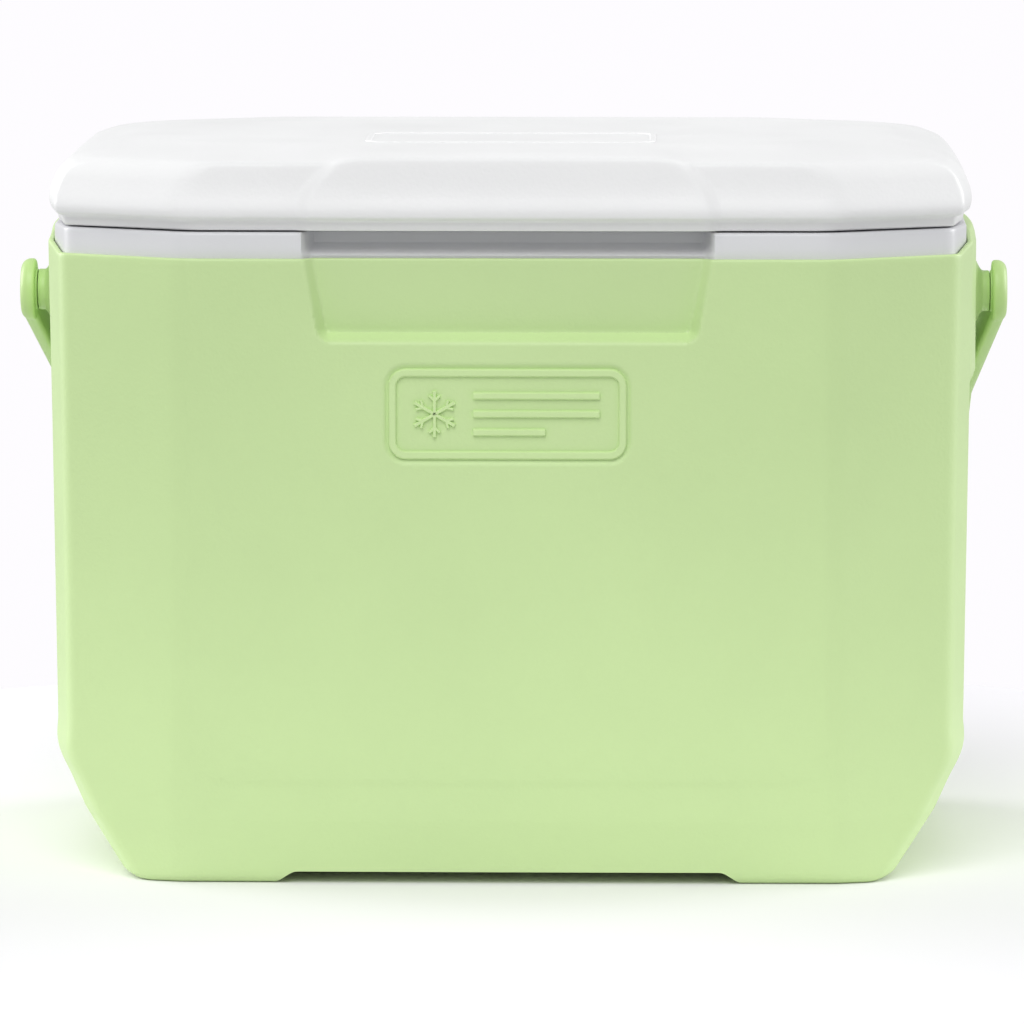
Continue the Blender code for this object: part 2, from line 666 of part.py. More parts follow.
def build_pivots(parent, green, steel, shell, core):
    """On each side: a conical base with a hollow stud, a nut behind the shell wall, and a press-in cap."""
    pad_face = PAD_FACE + 0.0003
    cone_end = EYE_INNER_X - HUB_LENGTH - GAP
    nut_outer = at_height(SHELL_LEVELS, PIVOT_Z)[0] - SHELL_WALL - 0.0008
    nut_inner = nut_outer - NUT_THICK
    stud_end = EYE_OUTER_X - 0.0026
    hole_radius = SHANK_RADIUS + GAP
    pocket_radius = NUT_RADIUS + 0.0010
    outside = EYE_OUTER_X + OVERRUN
    for side, turn in (("left", math.pi), ("right", 0.0)):
        placed = Matrix.Rotation(turn, 4, "Z")
        base = turned(
            f"pivot_base_{side}",
            (
                (nut_inner - 0.0010, SHANK_RADIUS),
                (pad_face, SHANK_RADIUS),
                (pad_face + STEP, CONE_FOOT_RADIUS),
                (pad_face + 0.0008, CONE_FOOT_RADIUS),
                (cone_end, CONE_END_RADIUS),
                (cone_end + STEP, STUD_RADIUS),
                (stud_end, STUD_RADIUS),
            ),
        )
        socket = rod(f"socket_{side}", stud_end - 0.0060, outside, SOCKET_RADIUS)
        nut = rod(f"pivot_nut_{side}", nut_inner, nut_outer, NUT_RADIUS, 6)
        nut_bore = rod(f"nut_bore_{side}", nut_inner - OVERRUN, nut_outer + OVERRUN, hole_radius)
        cap = turned(
            f"pivot_cap_{side}",
            (
                (stud_end - 0.0050, CAP_STEM_RADIUS),
                (stud_end + GAP, CAP_STEM_RADIUS),
                (stud_end + GAP + STEP, CAP_RADIUS),
                (EYE_OUTER_X - 0.0008, CAP_RADIUS),
                (EYE_OUTER_X, CAP_RADIUS - 0.0010),
            ),
        )
        wall_hole = rod(f"wall_hole_{side}", nut_inner, outside, hole_radius)
        pocket = rod(f"pocket_{side}", nut_inner - 0.0030, outside, pocket_radius)
        for mesh in (base, socket, nut, nut_bore, cap, wall_hole, pocket):
            mesh.transform(Matrix.Translation((0.0, 0.0, PIVOT_Z)) @ placed)
        base_object = new_object(base.name, base, parent, green)
        combine(base_object, helper(socket.name, socket, parent), "DIFFERENCE")
        nut_object = new_object(nut.name, nut, parent, steel)
        combine(nut_object, helper(nut_bore.name, nut_bore, parent), "DIFFERENCE")
        new_object(cap.name, cap, parent, green)
        combine(shell, helper(wall_hole.name, wall_hole, parent), "DIFFERENCE")
        combine(core, helper(pocket.name, pocket, parent), "DIFFERENCE")


# ---------------------------------------------------------------- hinges
def knuckle_outline(y_low, z_span, start):
    """(y, z) outline of a leaf: a flat plate whose edge rolls into the knuckle round the pin.

    start is the angle round the pin at which the knuckle's outline begins.
    """
    y_high = y_low + LEAF_THICK
    z_low, z_high = z_span
    rounded = []
    for step in range(KNUCKLE_STEPS + 1):
        angle = start + KNUCKLE_SWEEP * step / KNUCKLE_STEPS
        y = HINGE_AXIS_Y + KNUCKLE_RADIUS * math.cos(angle)
        z = HINGE_AXIS_Z + KNUCKLE_RADIUS * math.sin(angle)
        rounded.append((y, z))
    if z_low > HINGE_AXIS_Z:
        return [(y_low, z_low), *rounded, (y_high, z_low + 0.0040), (y_high, z_high), (y_low, z_high)]
    return [(y_low, z_low), (y_high, z_low), (y_high, z_high - 0.0030), *rounded, (y_low, z_high)]


def screw(name, parent, surface, x, y, z, length):
    """A countersunk screw that goes in along -Y, with its head at y."""
    mesh = turned_along_y(
        name,
        (
            (0.0, SCREW_RADIUS),
            (length - SCREW_HEAD_HEIGHT, SCREW_RADIUS),
            (length - 0.0003, SCREW_HEAD_RADIUS),
            (length, SCREW_HEAD_RADIUS),
        ),
    )
    made = new_object(name, mesh, parent, surface)
    made.location = (x, y - length, z)
    return made


def hole_for_screw(name, parent, x, y, z, depth, targets, leaf):
    """Cuts the screw's clearance hole in targets and its countersunk hole in leaf."""
    radius = SCREW_RADIUS + SCREW_CLEARANCE
    head_radius = SCREW_HEAD_RADIUS + SCREW_CLEARANCE
    outside = y + OVERRUN
    straight = helper(name, turned_along_y(name, ((y - depth, radius), (outside, radius))), parent)
    straight.location = (x, 0.0, z)
    for target in targets:
        combine(target, straight, "DIFFERENCE")
    head = turned_along_y(
        f"{name}_head",
        (
            (y - depth, radius),
            (y - SCREW_HEAD_HEIGHT - SCREW_CLEARANCE, radius),
            (y, head_radius),
            (outside, head_radius),
        ),
    )
    sunk = helper(f"{name}_head", head, parent)
    sunk.location = (x, 0.0, z)
    combine(leaf, sunk, "DIFFERENCE")


def build_hinge(side, x, empties, surfaces, solids):
    """One two-leaf hinge with its pin and four screws."""
    body, lid = empties
    plastic, steel = surfaces
    shell_back = SHELL_LEVELS[-1][2] + BOW + LEAF_STANDOFF
    lid_back = LID_LEVELS[3][3] + BOW + LEAF_STANDOFF
    body_outline = knuckle_outline(shell_back, BODY_LEAF_Z, math.radians(-70))
    lid_outline = knuckle_outline(lid_back, LID_LEAF_Z, math.radians(-170))
    body_leaf = new_object(
        f"hinge_body_leaf_{side}",
        extruded_x("body_leaf", body_outline, x - HINGE_HALF, x + HINGE_HALF),
        body,
        plastic,
    )
    lid_leaf = new_object(
        f"hinge_lid_leaf_{side}",
        extruded_x("lid_leaf", lid_outline, x - HINGE_HALF, x + HINGE_HALF),
        lid,
        plastic,
    )
    reach = KNUCKLE_RADIUS + KNUCKLE_CLEARANCE
    slot_y = HINGE_AXIS_Y - reach
    slot_z = HINGE_AXIS_Z - reach
    outside = (HINGE_AXIS_Y + OVERRUN, HINGE_AXIS_Z + OVERRUN)
    slot_half = KNUCKLE_SPLIT + 0.0005
    middle = block("middle", (x - slot_half, slot_y - 0.0040, slot_z), (x + slot_half, *outside))
    combine(body_leaf, helper(f"middle_slot_{side}", middle, body), "DIFFERENCE")
    for end, low, high in (
        ("low", x - HINGE_HALF - OVERRUN, x - KNUCKLE_SPLIT),
        ("high", x + KNUCKLE_SPLIT, x + HINGE_HALF + OVERRUN),
    ):
        top = (high, HINGE_AXIS_Y + OVERRUN, HINGE_AXIS_Z + 0.0045)
        box = block("end", (low, slot_y, HINGE_AXIS_Z - OVERRUN), top)
        combine(lid_leaf, helper(f"{end}_slot_{side}", box, lid), "DIFFERENCE")
    hole_reach = HINGE_HALF + 2 * OVERRUN
    pin_hole = rod("pin_hole", x - hole_reach, x + hole_reach, PIN_RADIUS + RUNNING_CLEARANCE, 12)
    pin_hole.transform(Matrix.Translation((0.0, HINGE_AXIS_Y, HINGE_AXIS_Z)))
    for leaf, empty in ((body_leaf, body), (lid_leaf, lid)):
        combine(leaf, helper(f"{leaf.name}_pin_hole", pin_hole, empty), "DIFFERENCE")
    head_radius = PIN_RADIUS + 0.0006
    neck = HINGE_HALF + 0.0003
    pin = turned(
        "pin",
        (
            (x - neck - 0.0009, head_radius),
            (x - neck, head_radius),
            (x - neck + STEP, PIN_RADIUS),
            (x + neck - STEP, PIN_RADIUS),
            (x + neck, head_radius),
            (x + neck + 0.0009, head_radius),
        ),
        12,
    )
    pin.transform(Matrix.Translation((0.0, HINGE_AXIS_Y, HINGE_AXIS_Z)))
    new_object(f"hinge_pin_{side}", pin, body, steel)
    body_targets = (solids["shell"], solids["liner"])
    lid_targets = (solids["lid_cover"], solids["lid_core"])
    for kind, parent, face, z, length, targets, leaf in (
        ("body", body, shell_back + LEAF_THICK, BODY_SCREW_Z, BODY_SCREW_LENGTH, body_targets, body_leaf),
        ("lid", lid, lid_back + LEAF_THICK, LID_SCREW_Z, LID_SCREW_LENGTH, lid_targets, lid_leaf),
    ):
        for number, offset in ((1, -SCREW_SIDE), (2, SCREW_SIDE)):
            name = f"{kind}_screw_{side}_{number}"
            screw(name, parent, steel, x + offset, face - 0.0001, z, length)
            hole_for_screw(f"hole_{name}", parent, x + offset, face, z, length + 0.0010, targets, leaf)


# ---------------------------------------------------------------- assembly
def empty_at(name, location, parent=None):
    """A parent empty."""
    made = bpy.data.objects.new(name, None)
    bpy.context.scene.collection.objects.link(made)
    made.parent = parent
    made.location = location
    return made


def body_offset():
    """How far the tub's middle lies in front of the origin, so that the folded handle's box is centred."""
    front = LID_LEVELS[3][2] + LID_LEVELS[3][4] + BOW
    corner = SECTION_ROUNDING * GRIP_THICK / 2
    reach_back = HANDLE_REACH * math.cos(FOLD_BELOW_LEVEL) + corner
    reach_back += (GRIP_THICK / 2 - corner) * math.cos(FOLD_BELOW_LEVEL)
    reach_back += (GRIP_WIDE / 2 - corner) * math.sin(FOLD_BELOW_LEVEL)
    return (front - reach_back) / 2


def main():
    for old in list(bpy.data.objects):
        bpy.data.objects.remove(old)
    green = material("green_shell_plastic", GREEN, 0.42)
    white = material("white_liner_plastic", WHITE, 0.38)
    foam = material("insulation_foam", FOAM, 0.9)
    steel = material("zinc_steel", STEEL, 0.35, 1.0)

    cooler = empty_at("cooler", (0.0, body_offset(), 0.0))
    body = empty_at("body", (0.0, 0.0, 0.0), cooler)
    lid = empty_at("lid", (0.0, 0.0, 0.0), cooler)
    handle = empty_at("handle", (0.0, 0.0, PIVOT_Z), cooler)
    handle.rotation_euler = (-(math.pi / 2 + FOLD_BELOW_LEVEL), 0.0, 0.0)

    solids = {
        "shell": build_shell(body, green),
        "liner": build_liner(body, white),
        "core": build_core(body, foam),
        "lid_cover": build_lid_cover(lid, white),
        "lid_core": build_lid_core(lid, foam),
    }
    build_lid_liner(lid, white)
    build_pivots(body, green, steel, solids["shell"], solids["core"])
    build_handle(handle, green)
    for side, x in (("left", -HINGE_X), ("right", HINGE_X)):
        build_hinge(side, x, (body, lid), (white, steel), solids)


main()
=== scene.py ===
"""Looks of the picnic cooler: fine meshes, materials, floor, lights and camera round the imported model.

Units are metres. Seen from the front, +X runs to the right, +Y runs to the back and +Z is up.
"""

import json
import math

import bmesh
import bpy
from mathutils import Matrix, Vector


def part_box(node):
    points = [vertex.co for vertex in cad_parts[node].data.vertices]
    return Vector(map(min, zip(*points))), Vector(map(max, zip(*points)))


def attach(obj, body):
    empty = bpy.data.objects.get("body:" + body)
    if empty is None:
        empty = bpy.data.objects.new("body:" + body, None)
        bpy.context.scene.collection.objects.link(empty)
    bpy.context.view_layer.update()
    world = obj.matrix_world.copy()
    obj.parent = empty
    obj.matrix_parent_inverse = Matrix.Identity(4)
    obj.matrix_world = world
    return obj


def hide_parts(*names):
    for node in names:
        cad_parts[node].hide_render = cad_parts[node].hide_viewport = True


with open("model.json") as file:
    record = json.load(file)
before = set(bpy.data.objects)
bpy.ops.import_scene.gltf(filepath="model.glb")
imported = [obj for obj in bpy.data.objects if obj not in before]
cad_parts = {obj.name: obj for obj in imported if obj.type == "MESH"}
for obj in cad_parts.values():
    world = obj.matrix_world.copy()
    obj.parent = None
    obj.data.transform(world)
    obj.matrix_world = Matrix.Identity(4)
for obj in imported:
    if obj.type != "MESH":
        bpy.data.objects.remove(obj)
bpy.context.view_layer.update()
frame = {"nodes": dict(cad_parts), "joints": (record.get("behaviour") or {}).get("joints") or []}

# ---------------- sizes
SHELL_LOW, SHELL_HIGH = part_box("outer_shell")
LID_LOW, LID_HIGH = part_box("lid_cover")
MIDDLE_Y = (SHELL_LOW.y + SHELL_HIGH.y) / 2  # middle of the tub
COLLAR_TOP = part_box("inner_liner")[1].z
LID_BOTTOM = LID_LOW.z
LID_TOP = LID_HIGH.z
JOINT_PLACES = {joint["name"]: joint["pos_m"] for joint in frame["joints"]}
PIVOT_Z = JOINT_PLACES["handle_swing"][2]
PIVOT_PLACE = Matrix.Translation((0.0, MIDDLE_Y, PIVOT_Z))
HINGE_PIN = JOINT_PLACES["lid_hinge"]

BASE_HEIGHT = 0.0053
SIDE_RISE = 0.0062  # how much higher the rim is beside the handle pivots
SHELL_RIM = SHELL_HIGH.z - SIDE_RISE
RISE_FOOT = SHELL_RIM - 0.0140
RISE_START = 0.1010  # distance from the middle, to the front and back, at which the rim begins to rise
RISE_END = 0.0600
SHELL_WALL = 0.0024
LINER_WALL = 0.0020
LID_WALL = 0.0024
GAP = 0.0004
BOW = 0.0006  # outward crown of the long walls

# Plan of the shell at each height: (z, half width, half depth, corner). A corner is two flats. It leaves the
# front face `run` short of the side, bends at `turn` from the side and `set_back` behind the front, and meets
# the side `depth` behind the front.
SHELL_LEVELS = (
    (0.0000, 0.1640, 0.1235, (0.0230, 0.0050, 0.0040, 0.0180)),
    (0.0280, 0.1838, 0.1282, (0.0430, 0.0064, 0.0180, 0.0380)),
    (0.0526, 0.1964, 0.1300, (0.0565, 0.0064, 0.0275, 0.0535)),
    (0.1950, 0.1980, 0.1308, (0.0590, 0.0066, 0.0278, 0.0538)),
    (SHELL_RIM, 0.1991, 0.1315, (0.0600, 0.0068, 0.0280, 0.0540)),
)
BELT = (0.0400, 0.0660)  # the heights between which the walls bend in towards the base
KNOT_RADII = (0.026, 0.011, 0.007)
KNOT_STEPS = 9
SHARP_ANGLE = 38.0

SCOOP_FOOT = 0.2338
SCOOP_DEEP = 0.0080
SCOOP_SHALLOW = 0.0045
SCOOP_TOP_HALF = 0.0868
SCOOP_FOOT_HALF = 0.0806
SCOOP_FLANK = 0.0042
SCOOP_CORNER = 0.0055
COLLAR_RECESS = 0.0142

PANEL_HALF = 0.1375
PANEL_FOOT = 0.0444
PANEL_CORNER = 0.0210
PANEL_PROUD = 0.0004

PAD_HALF_LENGTH = 0.0420
PAD_RAMP = 0.0060
PAD_FACE = 0.2038
PAD_DOME = 0.0032  # how much lower the pad is at its ends
PAD_FOOT = 0.2030
PAD_RISE = 0.0090
SIDE_FLAT = 0.0770  # half length of the flat part of the sides

CHANNEL_HALF_X = 0.0905
CHANNEL_HALF_Y = 0.0450
CHANNEL_FLARE = 0.0110

# Plan of the lid at each height: (z, half width, front half depth, back half depth).
LID_LIP = (
    (LID_BOTTOM, 0.1940, 0.1270, 0.1284),
    (LID_BOTTOM + 0.0007, 0.1947, 0.1277, 0.1292),
    (0.2856, 0.1955, 0.1282, 0.1296),
)
LID_FACE = (
    (0.2858, 0.1960, 0.1296, 0.1298),
    (0.2868, 0.1972, 0.1326, 0.1300),
    (0.2885, 0.1979, 0.1335, 0.1300),
    (0.2905, 0.1983, 0.1337, 0.1300),
    (0.2930, 0.1983, 0.1331, 0.1300),
    (0.2960, 0.1978, 0.1321, 0.1300),
    (0.3000, 0.1963, 0.1311, 0.1299),
    (0.3040, 0.1941, 0.1304, 0.1295),
    (0.3080, 0.1898, 0.1297, 0.1272),
    (0.3094, 0.1868, 0.1292, 0.1252),
    (0.3101, 0.1852, 0.1283, 0.1240),
)
LID_CROWN = (
    (0.3106, 0.1838, 0.1266, 0.1222),
    (0.3116, 0.1800, 0.1195, 0.1165),
    (0.3130, 0.1742, 0.1060, 0.1035),
    (0.3142, 0.1690, 0.0925, 0.0900),
    (0.3147, 0.1665, 0.0868, 0.0855),
    (LID_TOP - 0.0001, 0.1635, 0.0830, 0.0820),
    (LID_TOP, 0.1590, 0.0790, 0.0780),
)
LID_CORNER = (0.0585, 0.0044, 0.0262, 0.0540)
LID_KNOT_RADII = ((0.026, 0.004, 0.007), (0.030, 0.030, 0.030))  # below and above the crease
LID_CREASE = (0.3060, 0.3110)  # heights between which the lid's corners soften
LID_PAD_HALF = (0.0912, 0.0758)  # at the pad's foot and at its top
LID_PAD_SPAN = (0.2860, 0.3105)
LID_PAD_PROUD = 0.0022
LID_PAD_FLANK = 0.0075
LID_PAD_RISE = 0.0024
LID_PAD_RISE_X = (0.0800, 0.0600)

TUB_FLOOR = 0.0320
TUB_RIM = COLLAR_TOP - 0.0030
# Inside of the tub at each height: (z, half width, half depth).
TUB_LEVELS = (
    (TUB_FLOOR, 0.1470, 0.0835),
    (0.0400, 0.1560, 0.0915),
    (0.0560, 0.1650, 0.0945),
    (TUB_RIM, 0.1728, 0.0998),
    (COLLAR_TOP, 0.1745, 0.1015),
)
TUB_CORNER = (0.0300, 0.0070, 0.0120, 0.0300)
PLUG_BOTTOM = 0.2720
PLUG_CLEARANCE = 0.0030
PLUG_DRAFT = 0.0050  # how much further in the plug's foot is

HANDLE_REACH = 0.1630
EYE_OUTER_X = 0.2175
EYE_INNER_X = 0.2110
EYE_RADIUS = 0.0136
EYE_EDGE = 0.0042  # rounding of the eye's outer edge
ARM_RUN_X = 0.2030
ARM_TAPER_START = 0.0020
ARM_TAPER_END = 0.0980
ARM_THICK = 0.0066
ARM_WIDE = 0.0220
GRIP_WIDE = 0.0280
GRIP_THICK = 0.0170
BEND_RADIUS = 0.0260
FOLD_BELOW_LEVEL = math.radians(28.0)
STUD_RADIUS = 0.0055
STUD_PLAY = 0.0001
STUD_SHORT = 0.0026  # from the eye's outer face to the stud's end
CAP_SEAT_DEPTH = 0.0024
SHANK_RADIUS = 0.0045  # the part of the base that goes through the shell
SHANK_LENGTH = 0.0100
CAP_RADIUS = 0.0078
CAP_SUNK = 0.0004  # how far the cap's face lies inside the eye's
HUB_LENGTH = 0.0008  # the boss on the eye's inner side
HUB_RADIUS = 0.0092
CONE_FOOT_RADIUS = 0.0152
CONE_END_RADIUS = 0.0090

HINGE_X = 0.1050
HINGE_HALF = 0.0230
KNUCKLE_RADIUS = 0.0034
KNUCKLE_SPLIT = 0.0095
PIN_RADIUS = 0.0015
LEAF_THICK = 0.0025
SCREW_SIDE = 0.0140
SCREW_HEAD_RADIUS = 0.0034
LID_SCREW_Z = 0.2955
BODY_SCREW_Z = 0.2625

EMBLEM_HALF_WIDTH = 0.0507
EMBLEM_LOW = 0.1841
EMBLEM_HIGH = 0.2229
EMBLEM_RADIUS = 0.0075
EMBLEM_RECESS = 0.0011
EMBLEM_MARGIN = 0.0022  # how far the sunk bed reaches past the emblem
EMBLEM_BAND = 0.0036
EMBLEM_PROUD = 0.0015

OUTLINE_HALF_X = 0.0613
OUTLINE_HALF_Y = 0.0272
OUTLINE_FORWARD = 0.0487  # from the lid's middle to the outline's
OUTLINE_RADIUS = 0.0080
OUTLINE_WIDTH = 0.0026
OUTLINE_PROUD = 0.0005

FLOOR_RADIUS = 0.50
SURROUND = 0.48  # light from all round
# Soft lights: (name, compass angle from the front towards +X, height angle, angular size, strength). Angles
# are in degrees.
LIGHTS = (
    ("light_key", -12.0, 48.0, 45.0, 1.58),
    ("light_left", -115.0, 15.0, 35.0, 1.85),
    ("light_right", 115.0, 15.0, 35.0, 1.55),
    ("light_fill", 78.0, 12.0, 35.0, 0.15),
)
CAMERA_COMPASS = 1.11  # degrees from the front towards +X
CAMERA_TILT = 7.147  # degrees below level
CAMERA_DISTANCE = 3.0
CAMERA_HEIGHT = 0.538
CAMERA_LENS = 250.2  # mm, on a 36 mm sensor
AIM_X = 0.0019
AIM_FORWARD = 0.1321  # from the tub's middle to the point that the distance is taken from


# ---------------- small maths
def between(a, b, share):
    """A value, or each value of a tuple, part of the way from a to b."""
    if isinstance(a, tuple):
        return tuple(between(x, y, share) for x, y in zip(a, b))
    return a + (b - a) * share


def held_share(low, high, value):
    """How far value is on the way from low to high, held between 0 and 1."""
    return min(max((value - low) / (high - low), 0.0), 1.0)


def smooth_step(low, high, value):
    """0 at low, 1 at high, with a smooth rise between them."""
    share = held_share(low, high, value)
    return share * share * (3 - 2 * share)


def spread(low, high, step):
    """Evenly spaced values from low to high, both kept, about a step apart."""
    count = max(1, round((high - low) / step))
    return [low + (high - low) * index / count for index in range(count + 1)]


def quarter_turn(steps):
    """(sine, cosine) pairs at even steps over a quarter turn."""
    angles = [math.pi / 2 * step / steps for step in range(steps + 1)]
    return [(math.sin(angle), math.cos(angle)) for angle in angles]


def at_height(levels, z):
    """The row of levels at height z, without its height."""
    for low, high in zip(levels, levels[1:]):
        if z <= high[0]:
            break
    return between(low[1:], high[1:], held_share(low[0], high[0], z))


def curve_through(rows, steps):
    """Rows on a smooth curve through the given ones (Catmull-Rom), with steps intervals between each two."""
    padded = [rows[0], *rows, rows[-1]]
    curved = []
    for before, start, end, after in zip(padded, padded[1:], padded[2:], padded[3:]):
        for step in range(steps):
            t = step / steps
            row = []
            for p0, p1, p2, p3 in zip(before, start, end, after):
                slope = p2 - p0
                bend = 2 * p0 - 5 * p1 + 4 * p2 - p3
                twist = 3 * (p1 - p2) + p3 - p0
                row.append(p1 + 0.5 * t * (slope + t * (bend + t * twist)))
            curved.append(tuple(row))
    curved.append(rows[-1])
    return curved


def depth_in_rounded_box(x, z, box, radius):
    """How far (x, z) lies inside a rounded rectangle (half width, low z, high z); negative outside it."""
    half_x, low, high = box
    over_x = abs(x) - half_x + radius
    over_z = abs(z - (low + high) / 2) - (high - low) / 2 + radius
    outside = math.hypot(max(over_x, 0.0), max(over_z, 0.0))
    return radius - outside - min(max(over_x, over_z), 0.0)


# ---------------- plan outlines
FRONT_COLUMNS = spread(0.0, 0.056, 0.0009)[:-1] + spread(0.056, 0.073, 0.0015)[:-1]
FRONT_COLUMNS += spread(0.073, 0.0925, 0.0008)
SIDE_COLUMNS = spread(0.052, 0.038, -0.0012) + [0.030, 0.018, 0.006]
CORNER_GAPS = 6


def moved_knots(half_x, half_y, corner, inward):
    """The three bends of the front-right corner, each wall moved inwards by the same distance."""
    run, turn, set_back, depth = corner
    chain = (
        Vector((0.0, -half_y)),
        Vector((half_x - run, -half_y)),
        Vector((half_x - turn, -half_y + set_back)),
        Vector((half_x, -half_y + depth)),
        Vector((half_x, 0.0)),
    )
    normals = []
    for start, end in zip(chain, chain[1:]):
        along = (end - start).normalized()
        normals.append(Vector((-along.y, along.x)))
    knots = []
    for knot, first, second in zip(chain[1:-1], normals, normals[1:]):
        knots.append(knot + (first + second) * inward / (1 + first.dot(second)))
    return knots


def corner_arc(half_x, half_y, corner, inward, radii):
    """Points round the front-right corner, from the front face to the side."""
    knots = moved_knots(half_x, half_y, corner, inward)
    chain = [Vector((0.0, knots[0].y)), *knots, Vector((knots[-1].x, 0.0))]
    points = []
    for index, radius in enumerate(radii):
        before, knot, after = chain[index : index + 3]
        to_before = (before - knot).normalized()
        to_after = (after - knot).normalized()
        reach = radius / math.tan(to_before.angle(to_after) / 2)
        reach = min(reach, 0.42 * (before - knot).length, 0.42 * (after - knot).length)
        for step in range(KNOT_STEPS):
            t = step / (KNOT_STEPS - 1)
            start = knot + to_before * reach
            end = knot + to_after * reach
            points.append(start * (1 - t) ** 2 + knot * 2 * t * (1 - t) + end * t * t)
    return points


def quarter(half_x, half_y, corner, inward, radii):
    """Points from the middle of the front round to the middle of the right side, without reliefs."""
    arc = corner_arc(half_x, half_y, corner, inward, radii)
    flat_x = arc[0].x
    flat_y = -arc[-1].y
    front_y = arc[0].y
    side_x = arc[-1].x
    points = []
    last = FRONT_COLUMNS[-1]
    for x in FRONT_COLUMNS + spread(last, flat_x, (flat_x - last) / CORNER_GAPS)[1:-1]:
        points.append(Vector((x, front_y - BOW * (1 - (x / flat_x) ** 2))))
    points += arc
    squeeze = min(1.0, 0.9 * flat_y / SIDE_COLUMNS[0])
    for y in SIDE_COLUMNS:
        y *= squeeze
        points.append(Vector((side_x + BOW * (1 - (y / flat_y) ** 2), -y)))
    return points


def outline(size, corner, z, inward=0.0, front=None, side=None, radii=KNOT_RADII):
    """A closed plan outline at height z, anticlockwise from the middle of the front.

    size is (half width, front half depth, back half depth). front(x, z) and side(y, z) say how far the front
    and the right and left sides are pressed in there.
    """
    half_x, half_front, half_back = size
    right = []
    for point in quarter(half_x, half_front, corner, inward, radii):
        dent = front(point.x, z) if front and point.x < half_x - corner[0] + 0.01 else 0.0
        push = side(point.y, z, half_x) if side and point.x > half_x - 0.003 else 0.0
        right.append(Vector((point.x - push, point.y + dent)))
    for point in reversed(quarter(half_x, half_back, corner, inward, radii)):
        push = side(point.y, z, half_x) if side and point.x > half_x - 0.003 else 0.0
        right.append(Vector((point.x - push, -point.y)))
    left = [Vector((-p.x, p.y)) for p in reversed(right[1:-1])]
    return [Vector((p.x, p.y + MIDDLE_Y, z)) for p in right + left]


# ---------------- mesh building
def linked(name, data):
    """A new object in the scene."""
    thing = bpy.data.objects.new(name, data)
    bpy.context.scene.collection.objects.link(thing)
    return thing


def baked(thing):
    """The object's mesh with its modifiers applied."""
    return bpy.data.meshes.new_from_object(thing.evaluated_get(bpy.context.evaluated_depsgraph_get()))


def finish_piece(name, mesh, body, surface, stands_for=()):
    """Links a mesh as a piece that rides on a body and stands for CAD nodes."""
    piece = linked(name, mesh)
    mesh.materials.append(surface)
    mesh.shade_smooth()
    mesh.set_sharp_from_angle(angle=math.radians(SHARP_ANGLE))
    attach(piece, body)
    if stands_for:
        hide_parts(*stands_for)
    return piece


def loft(name, rings, endless=False):
    """A mesh through rings of equal length: endless, or with a flat cap on the first and the last."""
    shape = bmesh.new()
    rows = [[shape.verts.new(p) for p in ring] for ring in rings]
    count = len(rows[0])
    for low, high in zip(rows, rows[1:] + (rows[:1] if endless else [])):
        for index in range(count):
            after = (index + 1) % count
            shape.faces.new((low[index], low[after], high[after], high[index]))
    if not endless:
        shape.faces.new(list(reversed(rows[0])))
        shape.faces.new(rows[-1])
    return to_mesh(name, shape)


def to_mesh(name, shape):
    """A mesh from a bmesh, with its faces turned outwards."""
    bmesh.ops.recalc_face_normals(shape, faces=shape.faces)
    mesh = bpy.data.meshes.new(name)
    shape.to_mesh(mesh)
    shape.free()
    return mesh


def joined(name, meshes):
    """One mesh of several."""
    shape = bmesh.new()
    for mesh in meshes:
        shape.from_mesh(mesh)
        bpy.data.meshes.remove(mesh)
    return to_mesh(name, shape)


def turned(name, profile, steps=64):
    """A solid of revolution about X, through (x, radius) pairs from one end of the axis to the other."""
    rings = []
    for x, radius in profile:
        ring = []
        for step in range(steps):
            angle = 2 * math.pi * step / steps
            ring.append(Vector((x, radius * math.cos(angle), radius * math.sin(angle))))
        rings.append(ring)
    return loft(name, rings)


def rounded_edge(x, radius, size, quadrant, steps=5):
    """(x, radius) pairs of a turned shape's rounded edge: quadrant -1 rises to it, 1 falls from it."""
    if quadrant < 0:
        return [(x + size * (1 - cosine), radius - size * (1 - sine)) for sine, cosine in quarter_turn(steps)]
    return [(x - size * (1 - sine), radius - size * (1 - cosine)) for sine, cosine in quarter_turn(steps)]


def cut_by(target, cutters, operation="DIFFERENCE"):
    """The target mesh after exact Booleans with the cutter meshes, which are used up."""
    holder = linked("holder", target)
    tools = []
    for cutter in cutters:
        tool = linked("tool", cutter)
        modifier = holder.modifiers.new("cut", "BOOLEAN")
        modifier.operation = operation
        modifier.object = tool
        modifier.solver = "EXACT"
        tools.append(tool)
    result = baked(holder)
    for made in (holder, *tools):
        bpy.data.objects.remove(made)
    return result


def softened(mesh, width, angle, segments):
    """The mesh with its edges rounded."""
    holder = linked("holder", mesh)
    modifier = holder.modifiers.new("soft", "BEVEL")
    modifier.width = width
    modifier.segments = segments
    modifier.limit_method = "ANGLE"
    modifier.angle_limit = math.radians(angle)
    result = baked(holder)
    bpy.data.objects.remove(holder)
    return result


def block(low, high):
    """A plain box mesh between two corners, for cutting."""
    shape = bmesh.new()
    middle = (Vector(high) + Vector(low)) / 2
    size = Vector(high) - Vector(low)
    place = Matrix.Translation(middle) @ Matrix.Diagonal((*size, 1.0))
    bmesh.ops.create_cube(shape, size=1.0, matrix=place)
    return to_mesh("block", shape)


# ---------------- materials
def linear(red, green, blue):
    """A colour given on the 0 to 255 screen scale, as Blender's linear values."""
    values = []
    for value in (red, green, blue):
        value /= 255
        values.append(value / 12.92 if value <= 0.04045 else ((value + 0.055) / 1.055) ** 2.4)
    return (*values, 1.0)


def shaded(colour, factor):
    """A colour made lighter or darker."""
    return (*(min(1.0, part * factor) for part in colour[:3]), 1.0)


